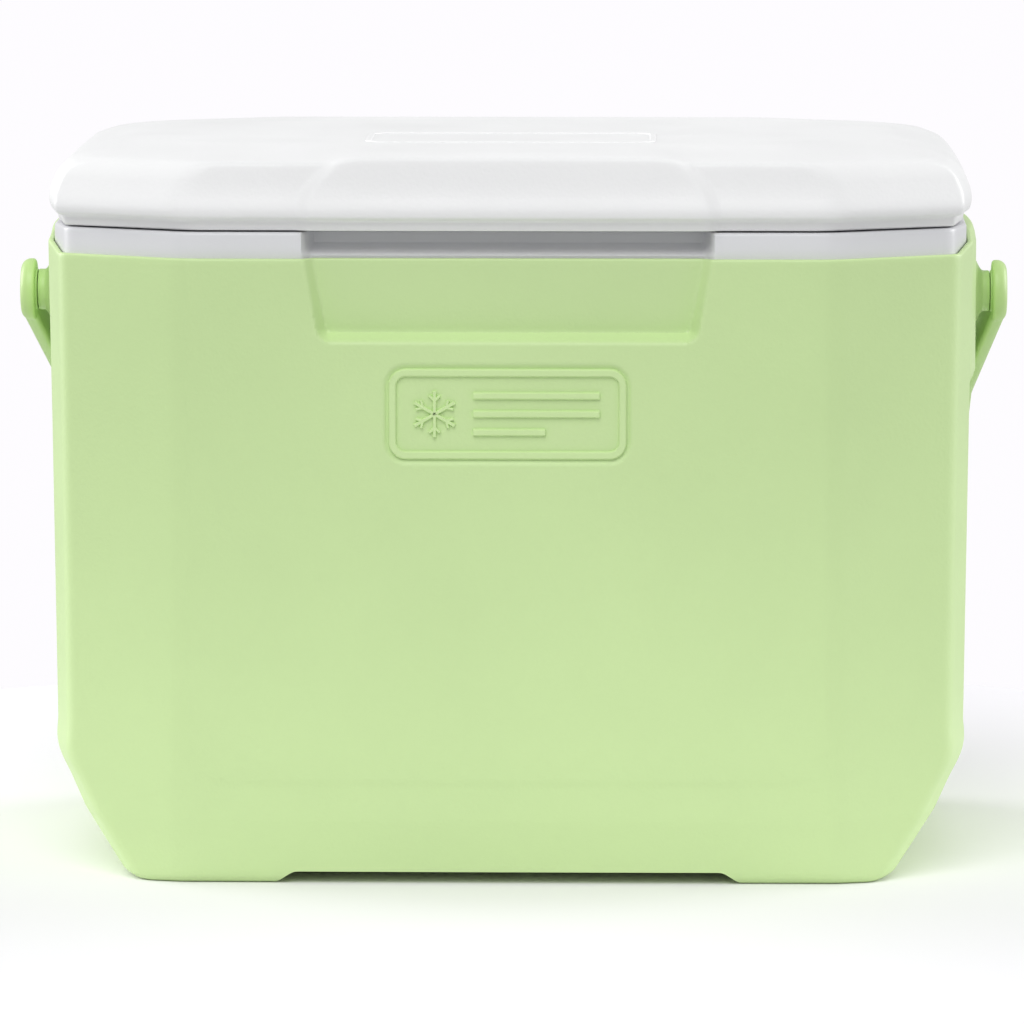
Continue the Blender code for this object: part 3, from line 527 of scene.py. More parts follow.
class Nodes:
    """Adds nodes to a new material and links them."""

    def __init__(self, name):
        self.material = bpy.data.materials.new(name)
        self.material.use_nodes = True
        self.tree = self.material.node_tree
        self.shader = self.tree.nodes["Principled BSDF"]
        self.place = self.add("ShaderNodeTexCoord").outputs["Object"]

    def add(self, kind, inputs=None, **settings):
        """A node with its settings made and its inputs set or linked."""
        node = self.tree.nodes.new(kind)
        for key, value in settings.items():
            setattr(node, key, value)
        for key, value in (inputs or {}).items():
            if isinstance(value, bpy.types.NodeSocket):
                self.tree.links.new(value, node.inputs[key])
            else:
                node.inputs[key].default_value = value
        return node

    def noise(self, scale, detail=3.0):
        """The value of a noise that is the same in every direction."""
        inputs = {"Vector": self.place, "Scale": scale, "Detail": detail, "Roughness": 0.55}
        return self.add("ShaderNodeTexNoise", inputs).outputs["Fac"]

    def ranged(self, value, low, high, new_low, new_high):
        """The value moved from one range to another and held inside it."""
        inputs = {"Value": value, "From Min": low, "From Max": high, "To Min": new_low, "To Max": new_high}
        return self.add("ShaderNodeMapRange", inputs).outputs["Result"]

    def mixed(self, factor, first, second):
        """A mix of two colours."""
        return self.add("ShaderNodeMix", {0: factor, 6: first, 7: second}, data_type="RGBA").outputs[2]

    def maths(self, operation, first, second):
        """One sum of two values."""
        return self.add("ShaderNodeMath", {0: first, 1: second}, operation=operation).outputs[0]

    def bump(self, height, strength, distance, below=None):
        """A bump laid over another, or over the bare surface."""
        inputs = {"Height": height, "Strength": strength, "Distance": distance}
        if below is not None:
            inputs["Normal"] = below
        return self.add("ShaderNodeBump", inputs).outputs["Normal"]

    def to_shader(self, **values):
        """Sets or links the shader's inputs, named with underscores for spaces."""
        for key, value in values.items():
            socket = self.shader.inputs[key.replace("_", " ")]
            if isinstance(value, bpy.types.NodeSocket):
                self.tree.links.new(value, socket)
            else:
                socket.default_value = value
        return self.material


def moulded_plastic(name, colour, rough, grain, wear_and_painted_sheen_of_edges):
    """Moulded plastic: pebbled grain, faint flow marks, duller patches and edges made a little lighter,
    partly as rubbed wear and partly as a painted sheen.
    """
    nodes = Nodes(name)
    patches = nodes.ranged(nodes.noise(9.0, 4.0), 0.30, 0.70, 0.0, 1.0)
    specks = nodes.ranged(nodes.noise(900.0, 2.0), 0.40, 0.75, 0.0, 1.0)
    tint = nodes.mixed(patches, shaded(colour, 0.975), shaded(colour, 1.02))
    tint = nodes.mixed(nodes.maths("MULTIPLY", specks, 0.10), tint, shaded(colour, 0.93))
    # Convex edges are mixed towards a paler tint: partly rubbed wear, partly a painted sheen highlight.
    edge_pointiness = nodes.add("ShaderNodeNewGeometry").outputs["Pointiness"]
    rubbed_and_painted_sheen = nodes.ranged(edge_pointiness, 0.515, 0.60, 0.0, wear_and_painted_sheen_of_edges)
    tint = nodes.mixed(rubbed_and_painted_sheen, tint, shaded(colour, 1.12))
    dull = nodes.ranged(nodes.noise(26.0, 5.0), 0.3, 0.7, rough - 0.05, rough + 0.06)
    cells = nodes.add("ShaderNodeTexVoronoi", {"Vector": nodes.place, "Scale": 620.0}, feature="SMOOTH_F1")
    pebbles = nodes.maths("MULTIPLY_ADD", nodes.noise(1100.0, 3.0), 0.8)
    nodes.tree.links.new(cells.outputs["Distance"], pebbles.node.inputs[2])
    skin = nodes.bump(pebbles, grain, 0.00012)
    waves = nodes.bump(nodes.noise(14.0, 2.0), 0.05, 0.002, skin)
    return nodes.to_shader(Base_Color=tint, Roughness=dull, Normal=waves, IOR=1.49)


def plated_steel():
    """Bright zinc-plated steel with fine brushing and faint spangle."""
    nodes = Nodes("zinc_steel_look")
    spangle = nodes.add("ShaderNodeTexVoronoi", {"Vector": nodes.place, "Scale": 900.0}).outputs["Color"]
    grey = nodes.mixed(nodes.noise(120.0), linear(176, 178, 184), linear(206, 207, 210))
    tint = nodes.mixed(0.06, grey, spangle)
    dull = nodes.ranged(nodes.noise(500.0, 4.0), 0.3, 0.7, 0.22, 0.40)
    scratches = nodes.bump(nodes.noise(2400.0, 2.0), 0.10, 0.00005)
    return nodes.to_shader(Base_Color=tint, Roughness=dull, Normal=scratches, Metallic=1.0)


def cast_foam():
    """Rigid cast foam with small closed cells."""
    nodes = Nodes("insulation_foam_look")
    cells = nodes.add("ShaderNodeTexVoronoi", {"Vector": nodes.place, "Scale": 700.0}).outputs["Distance"]
    shade = nodes.mixed(nodes.ranged(cells, 0.0, 0.8, 0.0, 1.0), linear(212, 196, 150), linear(240, 228, 190))
    tint = nodes.mixed(nodes.ranged(nodes.noise(20.0), 0.3, 0.7, 0.0, 0.4), shade, linear(222, 204, 156))
    pores = nodes.bump(cells, 0.6, 0.0006)
    return nodes.to_shader(Base_Color=tint, Roughness=0.95, Normal=pores)


GREEN = moulded_plastic("green_plastic_look", linear(201, 226, 163), 0.46, 0.60, 0.5)
GREEN_SMOOTH = moulded_plastic("green_handle_look", linear(190, 220, 146), 0.40, 0.14, 0.5)
WHITE_GRAINED = moulded_plastic("white_lid_look", linear(242, 242, 242), 0.44, 0.50, 0.2)
WHITE_SMOOTH = moulded_plastic("white_liner_look", linear(225, 225, 228), 0.34, 0.05, 0.2)
STEEL = plated_steel()
FOAM = cast_foam()


# ---------------- shell
def scoop_dent(x, z):
    """Depth of the finger scoop in the shell's front."""
    height = held_share(SCOOP_FOOT, SHELL_RIM, z)
    half = between(SCOOP_FOOT_HALF, SCOOP_TOP_HALF, height)
    within = depth_in_rounded_box(x, z, (half, SCOOP_FOOT, SHELL_RIM + 0.05), SCOOP_CORNER)
    slope = held_share(0.0, SCOOP_FLANK, within)
    return between(SCOOP_DEEP, SCOOP_SHALLOW, height) * between(slope, smooth_step(0.0, 1.0, slope), 0.3)


def front_dent(x, z):
    """How far the shell's front is pressed in: the scoop, the emblem's bed and the flat around the panel."""
    margin = EMBLEM_MARGIN
    bed = (EMBLEM_HALF_WIDTH + margin, EMBLEM_LOW - margin, EMBLEM_HIGH + margin)
    sunk = smooth_step(0.0, 0.0016, depth_in_rounded_box(x, z, bed, EMBLEM_RADIUS + margin))
    panel = depth_in_rounded_box(x, z, (PANEL_HALF, PANEL_FOOT, SHELL_RIM + 0.1), PANEL_CORNER)
    raised = smooth_step(-0.0020, 0.0020, panel)
    return scoop_dent(x, z) + sunk * EMBLEM_RECESS - raised * PANEL_PROUD


def side_dent(y, z, half_x):
    """How far the shell's side is pressed in, which is negative over the pad round the handle's pivot."""
    along = smooth_step(PAD_HALF_LENGTH + PAD_RAMP, PAD_HALF_LENGTH, abs(y))
    up = smooth_step(PAD_FOOT, PAD_FOOT + PAD_RISE, z)
    over = smooth_step(SHELL_RIM + 0.0040, SHELL_RIM - 0.0060, z)
    face = PAD_FACE - PAD_DOME * min(1.0, (y / PAD_HALF_LENGTH) ** 2)
    stand = face - half_x - BOW * (1 - (y / SIDE_FLAT) ** 2)
    return -stand * along * up * between(0.20, 1.0, over)


def shell_size(z):
    """The shell's plan at height z, its bends blended over the belt."""
    low, high = BELT
    if not low < z < high:
        return at_height(SHELL_LEVELS, z)
    slopes = []
    for edge, step in ((low, -0.004), (high, 0.004)):
        here = at_height(SHELL_LEVELS, edge)
        beyond = at_height(SHELL_LEVELS, edge + step)
        slopes.append(between(here, beyond, (z - edge) / step))
    half_x, half_y, corner = between(*slopes, smooth_step(low, high, z))
    return max(half_x, at_height(SHELL_LEVELS, low)[0]), half_y, corner


def with_side_rise(ring):
    """The ring with its sides raised beside the handle pivots, the more the nearer it is to the rim."""
    raised = []
    for point in ring:
        beside = smooth_step(RISE_START, RISE_END, abs(point.y - MIDDLE_Y))
        near = held_share(RISE_FOOT, SHELL_RIM, point.z)
        raised.append(point + Vector((0.0, 0.0, SIDE_RISE * beside * near)))
    return raised


def shell_ring(z, inward=0.0, relief=1):
    """The shell's plan at height z. relief is 0 for none, 1 for all and 2 for the scoop alone."""
    half_x, half_y, corner = shell_size(z)
    front = (None, front_dent, scoop_dent)[relief]
    side = side_dent if relief == 1 else None
    return with_side_rise(outline((half_x, half_y, half_y), corner, z, inward, front, side))


def shell_rows():
    """Rings of the shell: up the inside from the floor, over the rim and down the outside to the feet."""
    floor = BASE_HEIGHT + SHELL_WALL
    rings = []
    for z in (floor, 0.0280, 0.0526):
        rings.append(shell_ring(z, SHELL_WALL, 0))
    for z in (*spread(SCOOP_FOOT - 0.0030, SHELL_RIM - 0.0030, 0.0030), SHELL_RIM - 0.0006):
        rings.append(shell_ring(z, SHELL_WALL, 2))
    rim = 0.0011
    for step in range(9):
        angle = math.pi * step / 8
        lift = rim * (1 - math.sin(angle))
        inward = SHELL_WALL / 2 + (SHELL_WALL / 2) * math.cos(angle)
        ring = shell_ring(SHELL_RIM - lift, inward, 1 if step > 4 else 2)
        rings.append(ring)
    heights = spread(SHELL_RIM - 0.0030, 0.2470, -0.0030)
    heights += spread(0.2460, SCOOP_FOOT - 0.0015, -0.0009)
    heights += spread(0.2295, EMBLEM_HIGH + 0.0040, -0.0020)
    heights += spread(EMBLEM_HIGH + 0.0032, EMBLEM_LOW - 0.0032, -0.0009)
    heights += spread(0.1750, BELT[1], -0.0080)
    heights += spread(BELT[1] - 0.0012, 0.0220, -0.0012)
    heights += spread(0.0200, 0.0060, -0.0035)
    rings += [shell_ring(z) for z in heights]
    toe = 0.0045
    for sine, cosine in quarter_turn(7)[1:]:
        rings.append(shell_ring(toe * (1 - sine), toe * (1 - cosine), 0))
    return rings


def channel(half, length):
    """A cutter along X whose sides sweep down into the feet."""
    flank = []
    for share in spread(0.0, 1.0, 0.1):
        flank.append((half + CHANNEL_FLARE * share, BASE_HEIGHT * (1 - smooth_step(0.0, 1.0, share))))
    flank.append((half + CHANNEL_FLARE, -0.01))
    section = flank + [(-y, z) for y, z in reversed(flank)]
    rings = [[Vector((x, y, z)) for y, z in section] for x in (-length, length)]
    return loft("channel", rings)


def build_shell():
    """The green moulded shell."""
    mesh = loft("shell", shell_rows())
    across = channel(CHANNEL_HALF_Y, 0.3)
    across.transform(Matrix.Translation((0.0, MIDDLE_Y, 0.0)))
    along = channel(CHANNEL_HALF_X, 0.3)
    along.transform(Matrix.Rotation(math.pi / 2, 4, "Z"))
    mesh = cut_by(mesh, (across, along))
    return finish_piece("shell_skin", mesh, "body", GREEN, ("outer_shell",))


# ---------------- emblem
# Section of a raised line: (share of the half width, share of the height).
LINE_SECTION = ((-1, -0.35), (-1, 0.2), (-0.86, 0.75), (-0.6, 1))
LINE_SECTION += tuple((-share, lift) for share, lift in reversed(LINE_SECTION))


def on_front(x, z, height):
    """The point over (x, z) on the emblem's bed, a height in front of it."""
    half_y = at_height(SHELL_LEVELS, z)[1]
    crown = BOW * (1 - (x / PANEL_HALF) ** 2)
    return Vector((x, MIDDLE_Y - half_y - crown - PANEL_PROUD + EMBLEM_RECESS - height, z))


def on_lid(x, y, height):
    """The point over (x, y) on the lid's flat top, a height above it."""
    return Vector((x, y, LID_TOP + height))


def raised_line(path, place, width, proud, closed=False):
    """A rounded raised line along (a, b) points; place gives the point in space at (a, b) and a height."""
    rings = []
    count = len(path)
    for index, point in enumerate(path):
        before = path[index - 1] if closed or index else point
        after = path[(index + 1) % count] if closed or index < count - 1 else point
        along = Vector((after[0] - before[0], after[1] - before[1])).normalized()
        ring = []
        for share, lift in LINE_SECTION:
            a = point[0] - along.y * share * width / 2
            b = point[1] + along.x * share * width / 2
            ring.append(place(a, b, lift * proud))
        rings.append(ring)
    return loft("band" if closed else "bar", rings, closed)


def rounded_section(half_a, half_b, radius, steps=7):
    """(a, b) points of a rounded rectangle, anticlockwise."""
    points = []
    for corner, (sign_a, sign_b) in enumerate(((1, 1), (-1, 1), (-1, -1), (1, -1))):
        for step in range(steps):
            angle = math.pi / 2 * (corner + step / (steps - 1))
            a = sign_a * (half_a - radius) + radius * math.cos(angle)
            b = sign_b * (half_b - radius) + radius * math.sin(angle)
            points.append((a, b))
    return points


def rounded_path(half_x, low, high, radius):
    """(x, z) points of a rounded rectangle, each straight side split in short lengths."""
    middle = (low + high) / 2
    points = [(x, middle + z) for x, z in rounded_section(half_x, (high - low) / 2, radius, 11)]
    filled = []
    for start, end in zip(points, points[1:] + points[:1]):
        pieces = max(1, round(math.dist(start, end) / 0.004))
        for piece in range(pieces):
            filled.append(between(start, end, piece / pieces))
    return filled


def build_emblem():
    """A plain raised frame on the front with a snowflake and three bars, moulded with the shell."""
    inset = EMBLEM_BAND / 2
    low = EMBLEM_LOW + inset
    high = EMBLEM_HIGH - inset
    band = rounded_path(EMBLEM_HALF_WIDTH - inset, low, high, EMBLEM_RADIUS - inset)
    shapes = [raised_line(band, on_front, EMBLEM_BAND, EMBLEM_PROUD, closed=True)]
    middle = (EMBLEM_LOW + EMBLEM_HIGH) / 2
    flake_x = -0.0310
    arm = 0.0098
    for turn in range(3):
        angle = math.pi / 2 + turn * math.pi / 3
        tip = Vector((math.cos(angle), math.sin(angle))) * arm
        path = [(flake_x - tip.x, middle - tip.y), (flake_x, middle), (flake_x + tip.x, middle + tip.y)]
        shapes.append(raised_line(path, on_front, 0.0017, EMBLEM_PROUD * 0.9))
    for turn in range(6):
        angle = math.pi / 2 + turn * math.pi / 3
        root = Vector((math.cos(angle), math.sin(angle))) * arm * 0.58
        for lean in (-math.pi / 4, math.pi / 4):
            twig = Vector((math.cos(angle + lean), math.sin(angle + lean))) * arm * 0.32
            end = root + twig
            path = [(flake_x + root.x, middle + root.y), (flake_x + end.x, middle + end.y)]
            shapes.append(raised_line(path, on_front, 0.0013, EMBLEM_PROUD * 0.85))
    bar_start = -0.0145
    bar_pitch = 0.0078
    for row, bar_end in enumerate((0.0390, 0.0390, 0.0160)):
        z = middle + bar_pitch - row * bar_pitch
        path = [(x, z) for x in spread(bar_start, bar_end, 0.004)]
        shapes.append(raised_line(path, on_front, 0.0032, EMBLEM_PROUD))
    mesh = joined("emblem", shapes)
    return finish_piece("front_emblem", mesh, "body", GREEN)


# ---------------- liner
def tub_ring(z, inward=0.0, height=None):
    """The tub's inside at height z, or that plan drawn at another height."""
    half_x, half_y = at_height(TUB_LEVELS, z)
    return outline((half_x, half_y, half_y), TUB_CORNER, z if height is None else height, inward)


def collar_dent(depth):
    """A finger recess of one depth in the collar's front."""

    def dent(x, _z):
        return depth * smooth_step(SCOOP_TOP_HALF + 0.0012, SCOOP_TOP_HALF - 0.0040, abs(x))

    return dent


def collar_ring(z, recess, inward=0.0):
    """The collar's plan: the shell's own, set in by its wall."""
    half_x, half_y, corner = at_height(SHELL_LEVELS, min(z, SHELL_RIM))
    return outline((half_x, half_y, half_y), corner, z, SHELL_WALL + GAP + inward, collar_dent(recess))


def build_liner():
    """The white liner: tub, deck and collar in one moulding."""
    deep = COLLAR_RECESS
    rings = [tub_ring(z) for z in (TUB_FLOOR, 0.0334, 0.0360, 0.0400, 0.0470, 0.0560)]
    rings += [tub_ring(z) for z in spread(0.0700, TUB_RIM, 0.0300)]
    lip = 0.0022
    for sine, cosine in quarter_turn(5)[1:]:
        rings.append(tub_ring(TUB_RIM, -lip * (1 - cosine), COLLAR_TOP - lip * (1 - sine)))
    edge = 0.0014
    for sine, cosine in quarter_turn(5):
        rings.append(collar_ring(COLLAR_TOP - edge * (1 - cosine), deep, edge * (1 - sine)))
    foot = SHELL_RIM + 0.0008
    shelf = SHELL_RIM + 0.0045
    for z in spread(TUB_RIM, shelf + 0.0012, -0.0012):
        rings.append(collar_ring(z, deep))
    for step in range(7):
        share = step / 6
        recess = between(deep - 0.0010, SCOOP_SHALLOW + 0.0010, smooth_step(0.0, 1.0, share))
        rings.append(collar_ring(between(shelf, foot, share), recess))
    skirt = 0.2580
    skirt_recess = 0.0066
    rings.append(collar_ring(skirt, skirt_recess))
    rings.append(collar_ring(skirt, skirt_recess, LINER_WALL))
    rings.append(collar_ring(foot - LINER_WALL, SCOOP_SHALLOW + 0.0010, LINER_WALL))
    rings.append(collar_ring(shelf - LINER_WALL, deep - 0.0010, LINER_WALL))
    rings.append(collar_ring(COLLAR_TOP - LINER_WALL, deep, LINER_WALL))
    rings.append(tub_ring(TUB_RIM, -LINER_WALL, COLLAR_TOP - LINER_WALL))
    rings += [tub_ring(z, -LINER_WALL) for z in (0.0560, 0.0400)]
    rings.append(tub_ring(TUB_FLOOR, -LINER_WALL, TUB_FLOOR - LINER_WALL))
    mesh = loft("liner", rings)
    return finish_piece("liner_skin", mesh, "body", WHITE_SMOOTH, ("inner_liner",))


# ---------------- lid
def lid_pad_share(x, z):
    """1 on the raised middle of the lid's front, 0 beside it."""
    half = between(*LID_PAD_HALF, held_share(*LID_PAD_SPAN, z) ** 2.5)
    return smooth_step(half, half - LID_PAD_FLANK, abs(x))


def lid_pad(x, z):
    """The raised middle of the lid's front, as a negative dent."""
    return -LID_PAD_PROUD * lid_pad_share(x, z) * smooth_step(0.3130, 0.3100, z)


def lid_pad_lift(point):
    """How much higher the lid's surface lies over the raised middle of its front."""
    across = smooth_step(*LID_PAD_RISE_X, abs(point.x))
    up = smooth_step(0.2960, 0.3101, point.z)
    forward = smooth_step(0.0850, 0.1270, MIDDLE_Y - point.y)
    return LID_PAD_RISE * across * up * forward


def lid_ring(row, inward=0.0, drop=0.0, pad=True):
    """One of the lid's rings, moved inwards and down."""
    z, half_x, front, back = row
    radii = between(*LID_KNOT_RADII, smooth_step(*LID_CREASE, z))
    ring = outline((half_x, front, back), LID_CORNER, z, inward, lid_pad if pad else None, None, radii)
    return [Vector((p.x, p.y, p.z - drop + (lid_pad_lift(p) if pad else 0.0))) for p in ring]


def build_lid():
    """The lid's skin, open underneath."""
    face = curve_through(LID_FACE, 3)
    crown = curve_through(LID_CROWN, 3)
    rings = [lid_ring(LID_CROWN[-1], LID_WALL, LID_WALL), lid_ring(LID_CROWN[2], LID_WALL, LID_WALL)]
    rings.append(lid_ring(LID_FACE[-1], LID_WALL + 0.0010, LID_WALL * 0.6))
    rings += [lid_ring(LID_FACE[6], LID_WALL), lid_ring(LID_FACE[2], LID_WALL)]
    rings.append(lid_ring(LID_LIP[0], LID_WALL - 0.0006))
    rings += [lid_ring(row) for row in (*LID_LIP, *face, *crown)]
    mesh = loft("lid", rings)
    return finish_piece("lid_skin", mesh, "lid", WHITE_GRAINED, ("lid_cover",))


def build_lid_panel():
    """The lid's inner panel with its shallow plug."""
    flange_low = LID_BOTTOM + 0.0003
    flange_high = flange_low + 0.0022
    edge = LID_WALL + GAP + 0.0006
    foot = PLUG_CLEARANCE + PLUG_DRAFT
    bend = 0.0020
    rings = []
    for sine, cosine in quarter_turn(5):
        rings.append(tub_ring(TUB_RIM, foot - bend * sine, PLUG_BOTTOM + bend * (1 - cosine)))
    for sine, cosine in quarter_turn(5):
        rings.append(tub_ring(TUB_RIM, PLUG_CLEARANCE - bend * (1 - cosine), flange_low - bend * (1 - sine)))
    rings.append(lid_ring(LID_LIP[0], edge, -0.0003, False))
    rings.append(lid_ring(LID_LIP[0], edge, LID_BOTTOM - flange_high, False))
    rings.append(tub_ring(TUB_RIM, PLUG_CLEARANCE + LINER_WALL, flange_high))
    rings.append(tub_ring(TUB_RIM, foot, PLUG_BOTTOM + LINER_WALL))
    mesh = loft("lid_panel", rings)
    return finish_piece("lid_panel", mesh, "lid", WHITE_SMOOTH, ("lid_liner",))


def build_lid_outline():
    """An empty raised outline on top of the lid."""
    flat = rounded_path(OUTLINE_HALF_X, -OUTLINE_HALF_Y, OUTLINE_HALF_Y, OUTLINE_RADIUS)
    path = [(x, y + MIDDLE_Y - OUTLINE_FORWARD) for x, y in flat]
    mesh = raised_line(path, on_lid, OUTLINE_WIDTH, OUTLINE_PROUD, closed=True)
    return finish_piece("lid_outline", mesh, "lid", WHITE_GRAINED)


# ---------------- handle
def handle_stations():
    """(centre, across, half thickness, half width) along half of the bail, from an eye towards the grip.

    The bail stands upright here, with Z up from the pivot. across is the way its thickness runs.
    """
    eye_x = (EYE_OUTER_X + EYE_INNER_X) / 2
    eye_thick = EYE_OUTER_X - EYE_INNER_X
    bend_z = HANDLE_REACH - BEND_RADIUS
    stations = []
    for z in spread(0.0, bend_z - 0.002, 0.004):
        share = held_share(ARM_TAPER_START, ARM_TAPER_END, z)
        thick = between(eye_thick, ARM_THICK, share)
        centre = Vector((between(eye_x, ARM_RUN_X, share), 0.0, z))
        stations.append((centre, Vector((1.0, 0.0, 0.0)), thick / 2, ARM_WIDE / 2))
    steps = 14
    for step in range(steps + 1):
        angle = math.pi / 2 * step / steps
        across = Vector((math.cos(angle), 0.0, math.sin(angle)))
        share = smooth_step(0.0, 1.0, step / steps)
        thick = between(ARM_THICK, GRIP_THICK, share)
        wide = between(ARM_WIDE, GRIP_WIDE, share)
        centre = Vector((ARM_RUN_X - BEND_RADIUS, 0.0, bend_z)) + across * BEND_RADIUS
        stations.append((centre, across, thick / 2, wide / 2))
    up = Vector((0.0, 0.0, 1.0))
    for x in spread(0.165, 0.0, -0.015)[:-1]:
        stations.append((Vector((x, 0.0, HANDLE_REACH)), up, GRIP_THICK / 2, GRIP_WIDE / 2))
    return stations


def build_handle():
    """The bail handle: two eyes, two arms and the grip."""
    half = handle_stations()
    mirrored = []
    flip = Matrix.Diagonal((-1.0, 1.0, 1.0))
    for centre, across, thick, wide in reversed(half):
        mirrored.append((flip @ centre, flip @ across, thick, wide))
    rings = []
    for centre, across, thick, wide in half + mirrored:
        section = rounded_section(thick, wide, min(thick, wide) * 0.72)
        rings.append([centre + across * a + Vector((0.0, b, 0.0)) for a, b in section])
    bail = loft("bail", rings)
    eyes = []
    bores = []
    for turn in (0.0, math.pi):
        hub_end = EYE_INNER_X - HUB_LENGTH
        profile = [(hub_end, CAP_RADIUS), *rounded_edge(hub_end, HUB_RADIUS, 0.0004, -1)]
        profile += [(EYE_INNER_X, HUB_RADIUS), *rounded_edge(EYE_INNER_X, EYE_RADIUS, 0.0014, -1)]
        profile += rounded_edge(EYE_OUTER_X, EYE_RADIUS, EYE_EDGE, 1, 8)
        profile.append((EYE_OUTER_X, CAP_RADIUS))
        eye = turned("eye", profile)
        seat = EYE_OUTER_X - CAP_SEAT_DEPTH
        narrow = STUD_RADIUS + STUD_PLAY
        wide = CAP_RADIUS + GAP
        ends = (EYE_INNER_X - 0.01, EYE_OUTER_X + 0.01)
        steps = ((ends[0], narrow), (seat, narrow), (seat + 0.0001, wide), (ends[1], wide))
        bore = turned("bore", steps)
        for mesh in (eye, bore):
            mesh.transform(Matrix.Rotation(turn, 4, "Z"))
        eyes.append(eye)
        bores.append(bore)
    bail = cut_by(cut_by(bail, eyes, "UNION"), bores)
    bail.transform(Matrix.Rotation(-(math.pi / 2 + FOLD_BELOW_LEVEL), 4, "X"))
    bail.transform(PIVOT_PLACE)
    return finish_piece("handle_skin", bail, "handle", GREEN_SMOOTH, ("bail_handle",))


def build_pivots():
    """On each side, the conical base with its stud, and the cap in the eye."""
    cone_end = EYE_INNER_X - HUB_LENGTH - GAP
    stud_end = EYE_OUTER_X - STUD_SHORT
    foot = PAD_FACE - 0.0002
    flange = foot - 0.0010
    flare_end = foot + 0.0036
    cap_face = EYE_OUTER_X - CAP_SUNK
    cap_dip = EYE_OUTER_X - 0.0010
    for side, turn in (("left", math.pi), ("right", 0.0)):
        profile = [(foot - SHANK_LENGTH, SHANK_RADIUS), (flange, SHANK_RADIUS), (flange, CONE_FOOT_RADIUS)]
        for share in spread(0.0, 1.0, 0.1):
            radius = between(CONE_FOOT_RADIUS, CONE_END_RADIUS, smooth_step(-0.6, 1.0, share) * 1.25 - 0.25)
            profile.append((between(foot, flare_end, share), radius))
        profile += [(cone_end - 0.0004, CONE_END_RADIUS), (cone_end, CONE_END_RADIUS - 0.0003)]
        profile += [(cone_end, STUD_RADIUS), (stud_end, STUD_RADIUS)]
        base = turned("pivot_base", profile)
        cap_profile = [(stud_end + GAP, CAP_RADIUS - 0.0004), (stud_end + GAP, CAP_RADIUS)]
        cap_profile += rounded_edge(cap_face, CAP_RADIUS, 0.0010, 1)
        dip = ((cap_face, 0.62), (cap_dip, 0.56), (cap_dip, 0.1))
        cap_profile += [(x, CAP_RADIUS * share) for x, share in dip]
        cap = turned("pivot_cap", cap_profile)
        for mesh in (base, cap):
            mesh.transform(PIVOT_PLACE @ Matrix.Rotation(turn, 4, "Z"))
        for kind, node, mesh in (("pivot_skin", "pivot_base", base), ("cap_skin", "pivot_cap", cap)):
            piece = f"{kind}_{side}"
            finish_piece(piece, mesh, "body", GREEN_SMOOTH, (f"{node}_{side}",))


# ---------------- hinges
def leaf_mesh(section, x):
    """A hinge leaf from its (y, z) section."""
    ends = (x - HINGE_HALF, x + HINGE_HALF)
    return loft("leaf", [[Vector((end, y, z)) for y, z in section] for end in ends])


def knuckle(start, sweep, steps=28):
    """(y, z) points of the knuckle round the pin."""
    _, pin_y, pin_z = HINGE_PIN
    points = []
    for step in range(steps + 1):
        angle = math.radians(start + sweep * step / steps)
        points.append((pin_y + KNUCKLE_RADIUS * math.cos(angle), pin_z + KNUCKLE_RADIUS * math.sin(angle)))
    return points


def screw_mesh(x, y, z, length):
    """A countersunk screw along Y with a cross recess in its head at y."""
    head = SCREW_HEAD_RADIUS
    shank = 0.0016
    profile = [(0.0, shank / 2), (0.0015, shank), (length - 0.0019, shank), (length - 0.0004, head)]
    profile += [(length - 0.0001, head - 0.0001), (length, head - 0.0005)]
    mesh = turned("screw", profile, 32)
    slots = []
    slot_half = 0.0019
    slot_thin = 0.00035
    for width, height in ((slot_half, slot_thin), (slot_thin, slot_half)):
        slots.append(block((length - 0.0009, -width, -height), (length + 0.001, width, height)))
    mesh = cut_by(mesh, slots)
    mesh.transform(Matrix.Translation((x, y - length, z)) @ Matrix.Rotation(math.pi / 2, 4, "Z"))
    return mesh


def screw_hole(x, y, z):
    """A cutter for a countersunk hole along Y whose mouth is at y."""
    profile = ((-0.01, 0.0020), (-0.0023, 0.0020), (-0.0004, 0.0037), (0.0050, 0.0037))
    mesh = turned("hole", profile, 40)
    mesh.transform(Matrix.Translation((x, y, z)) @ Matrix.Rotation(math.pi / 2, 4, "Z"))
    return mesh


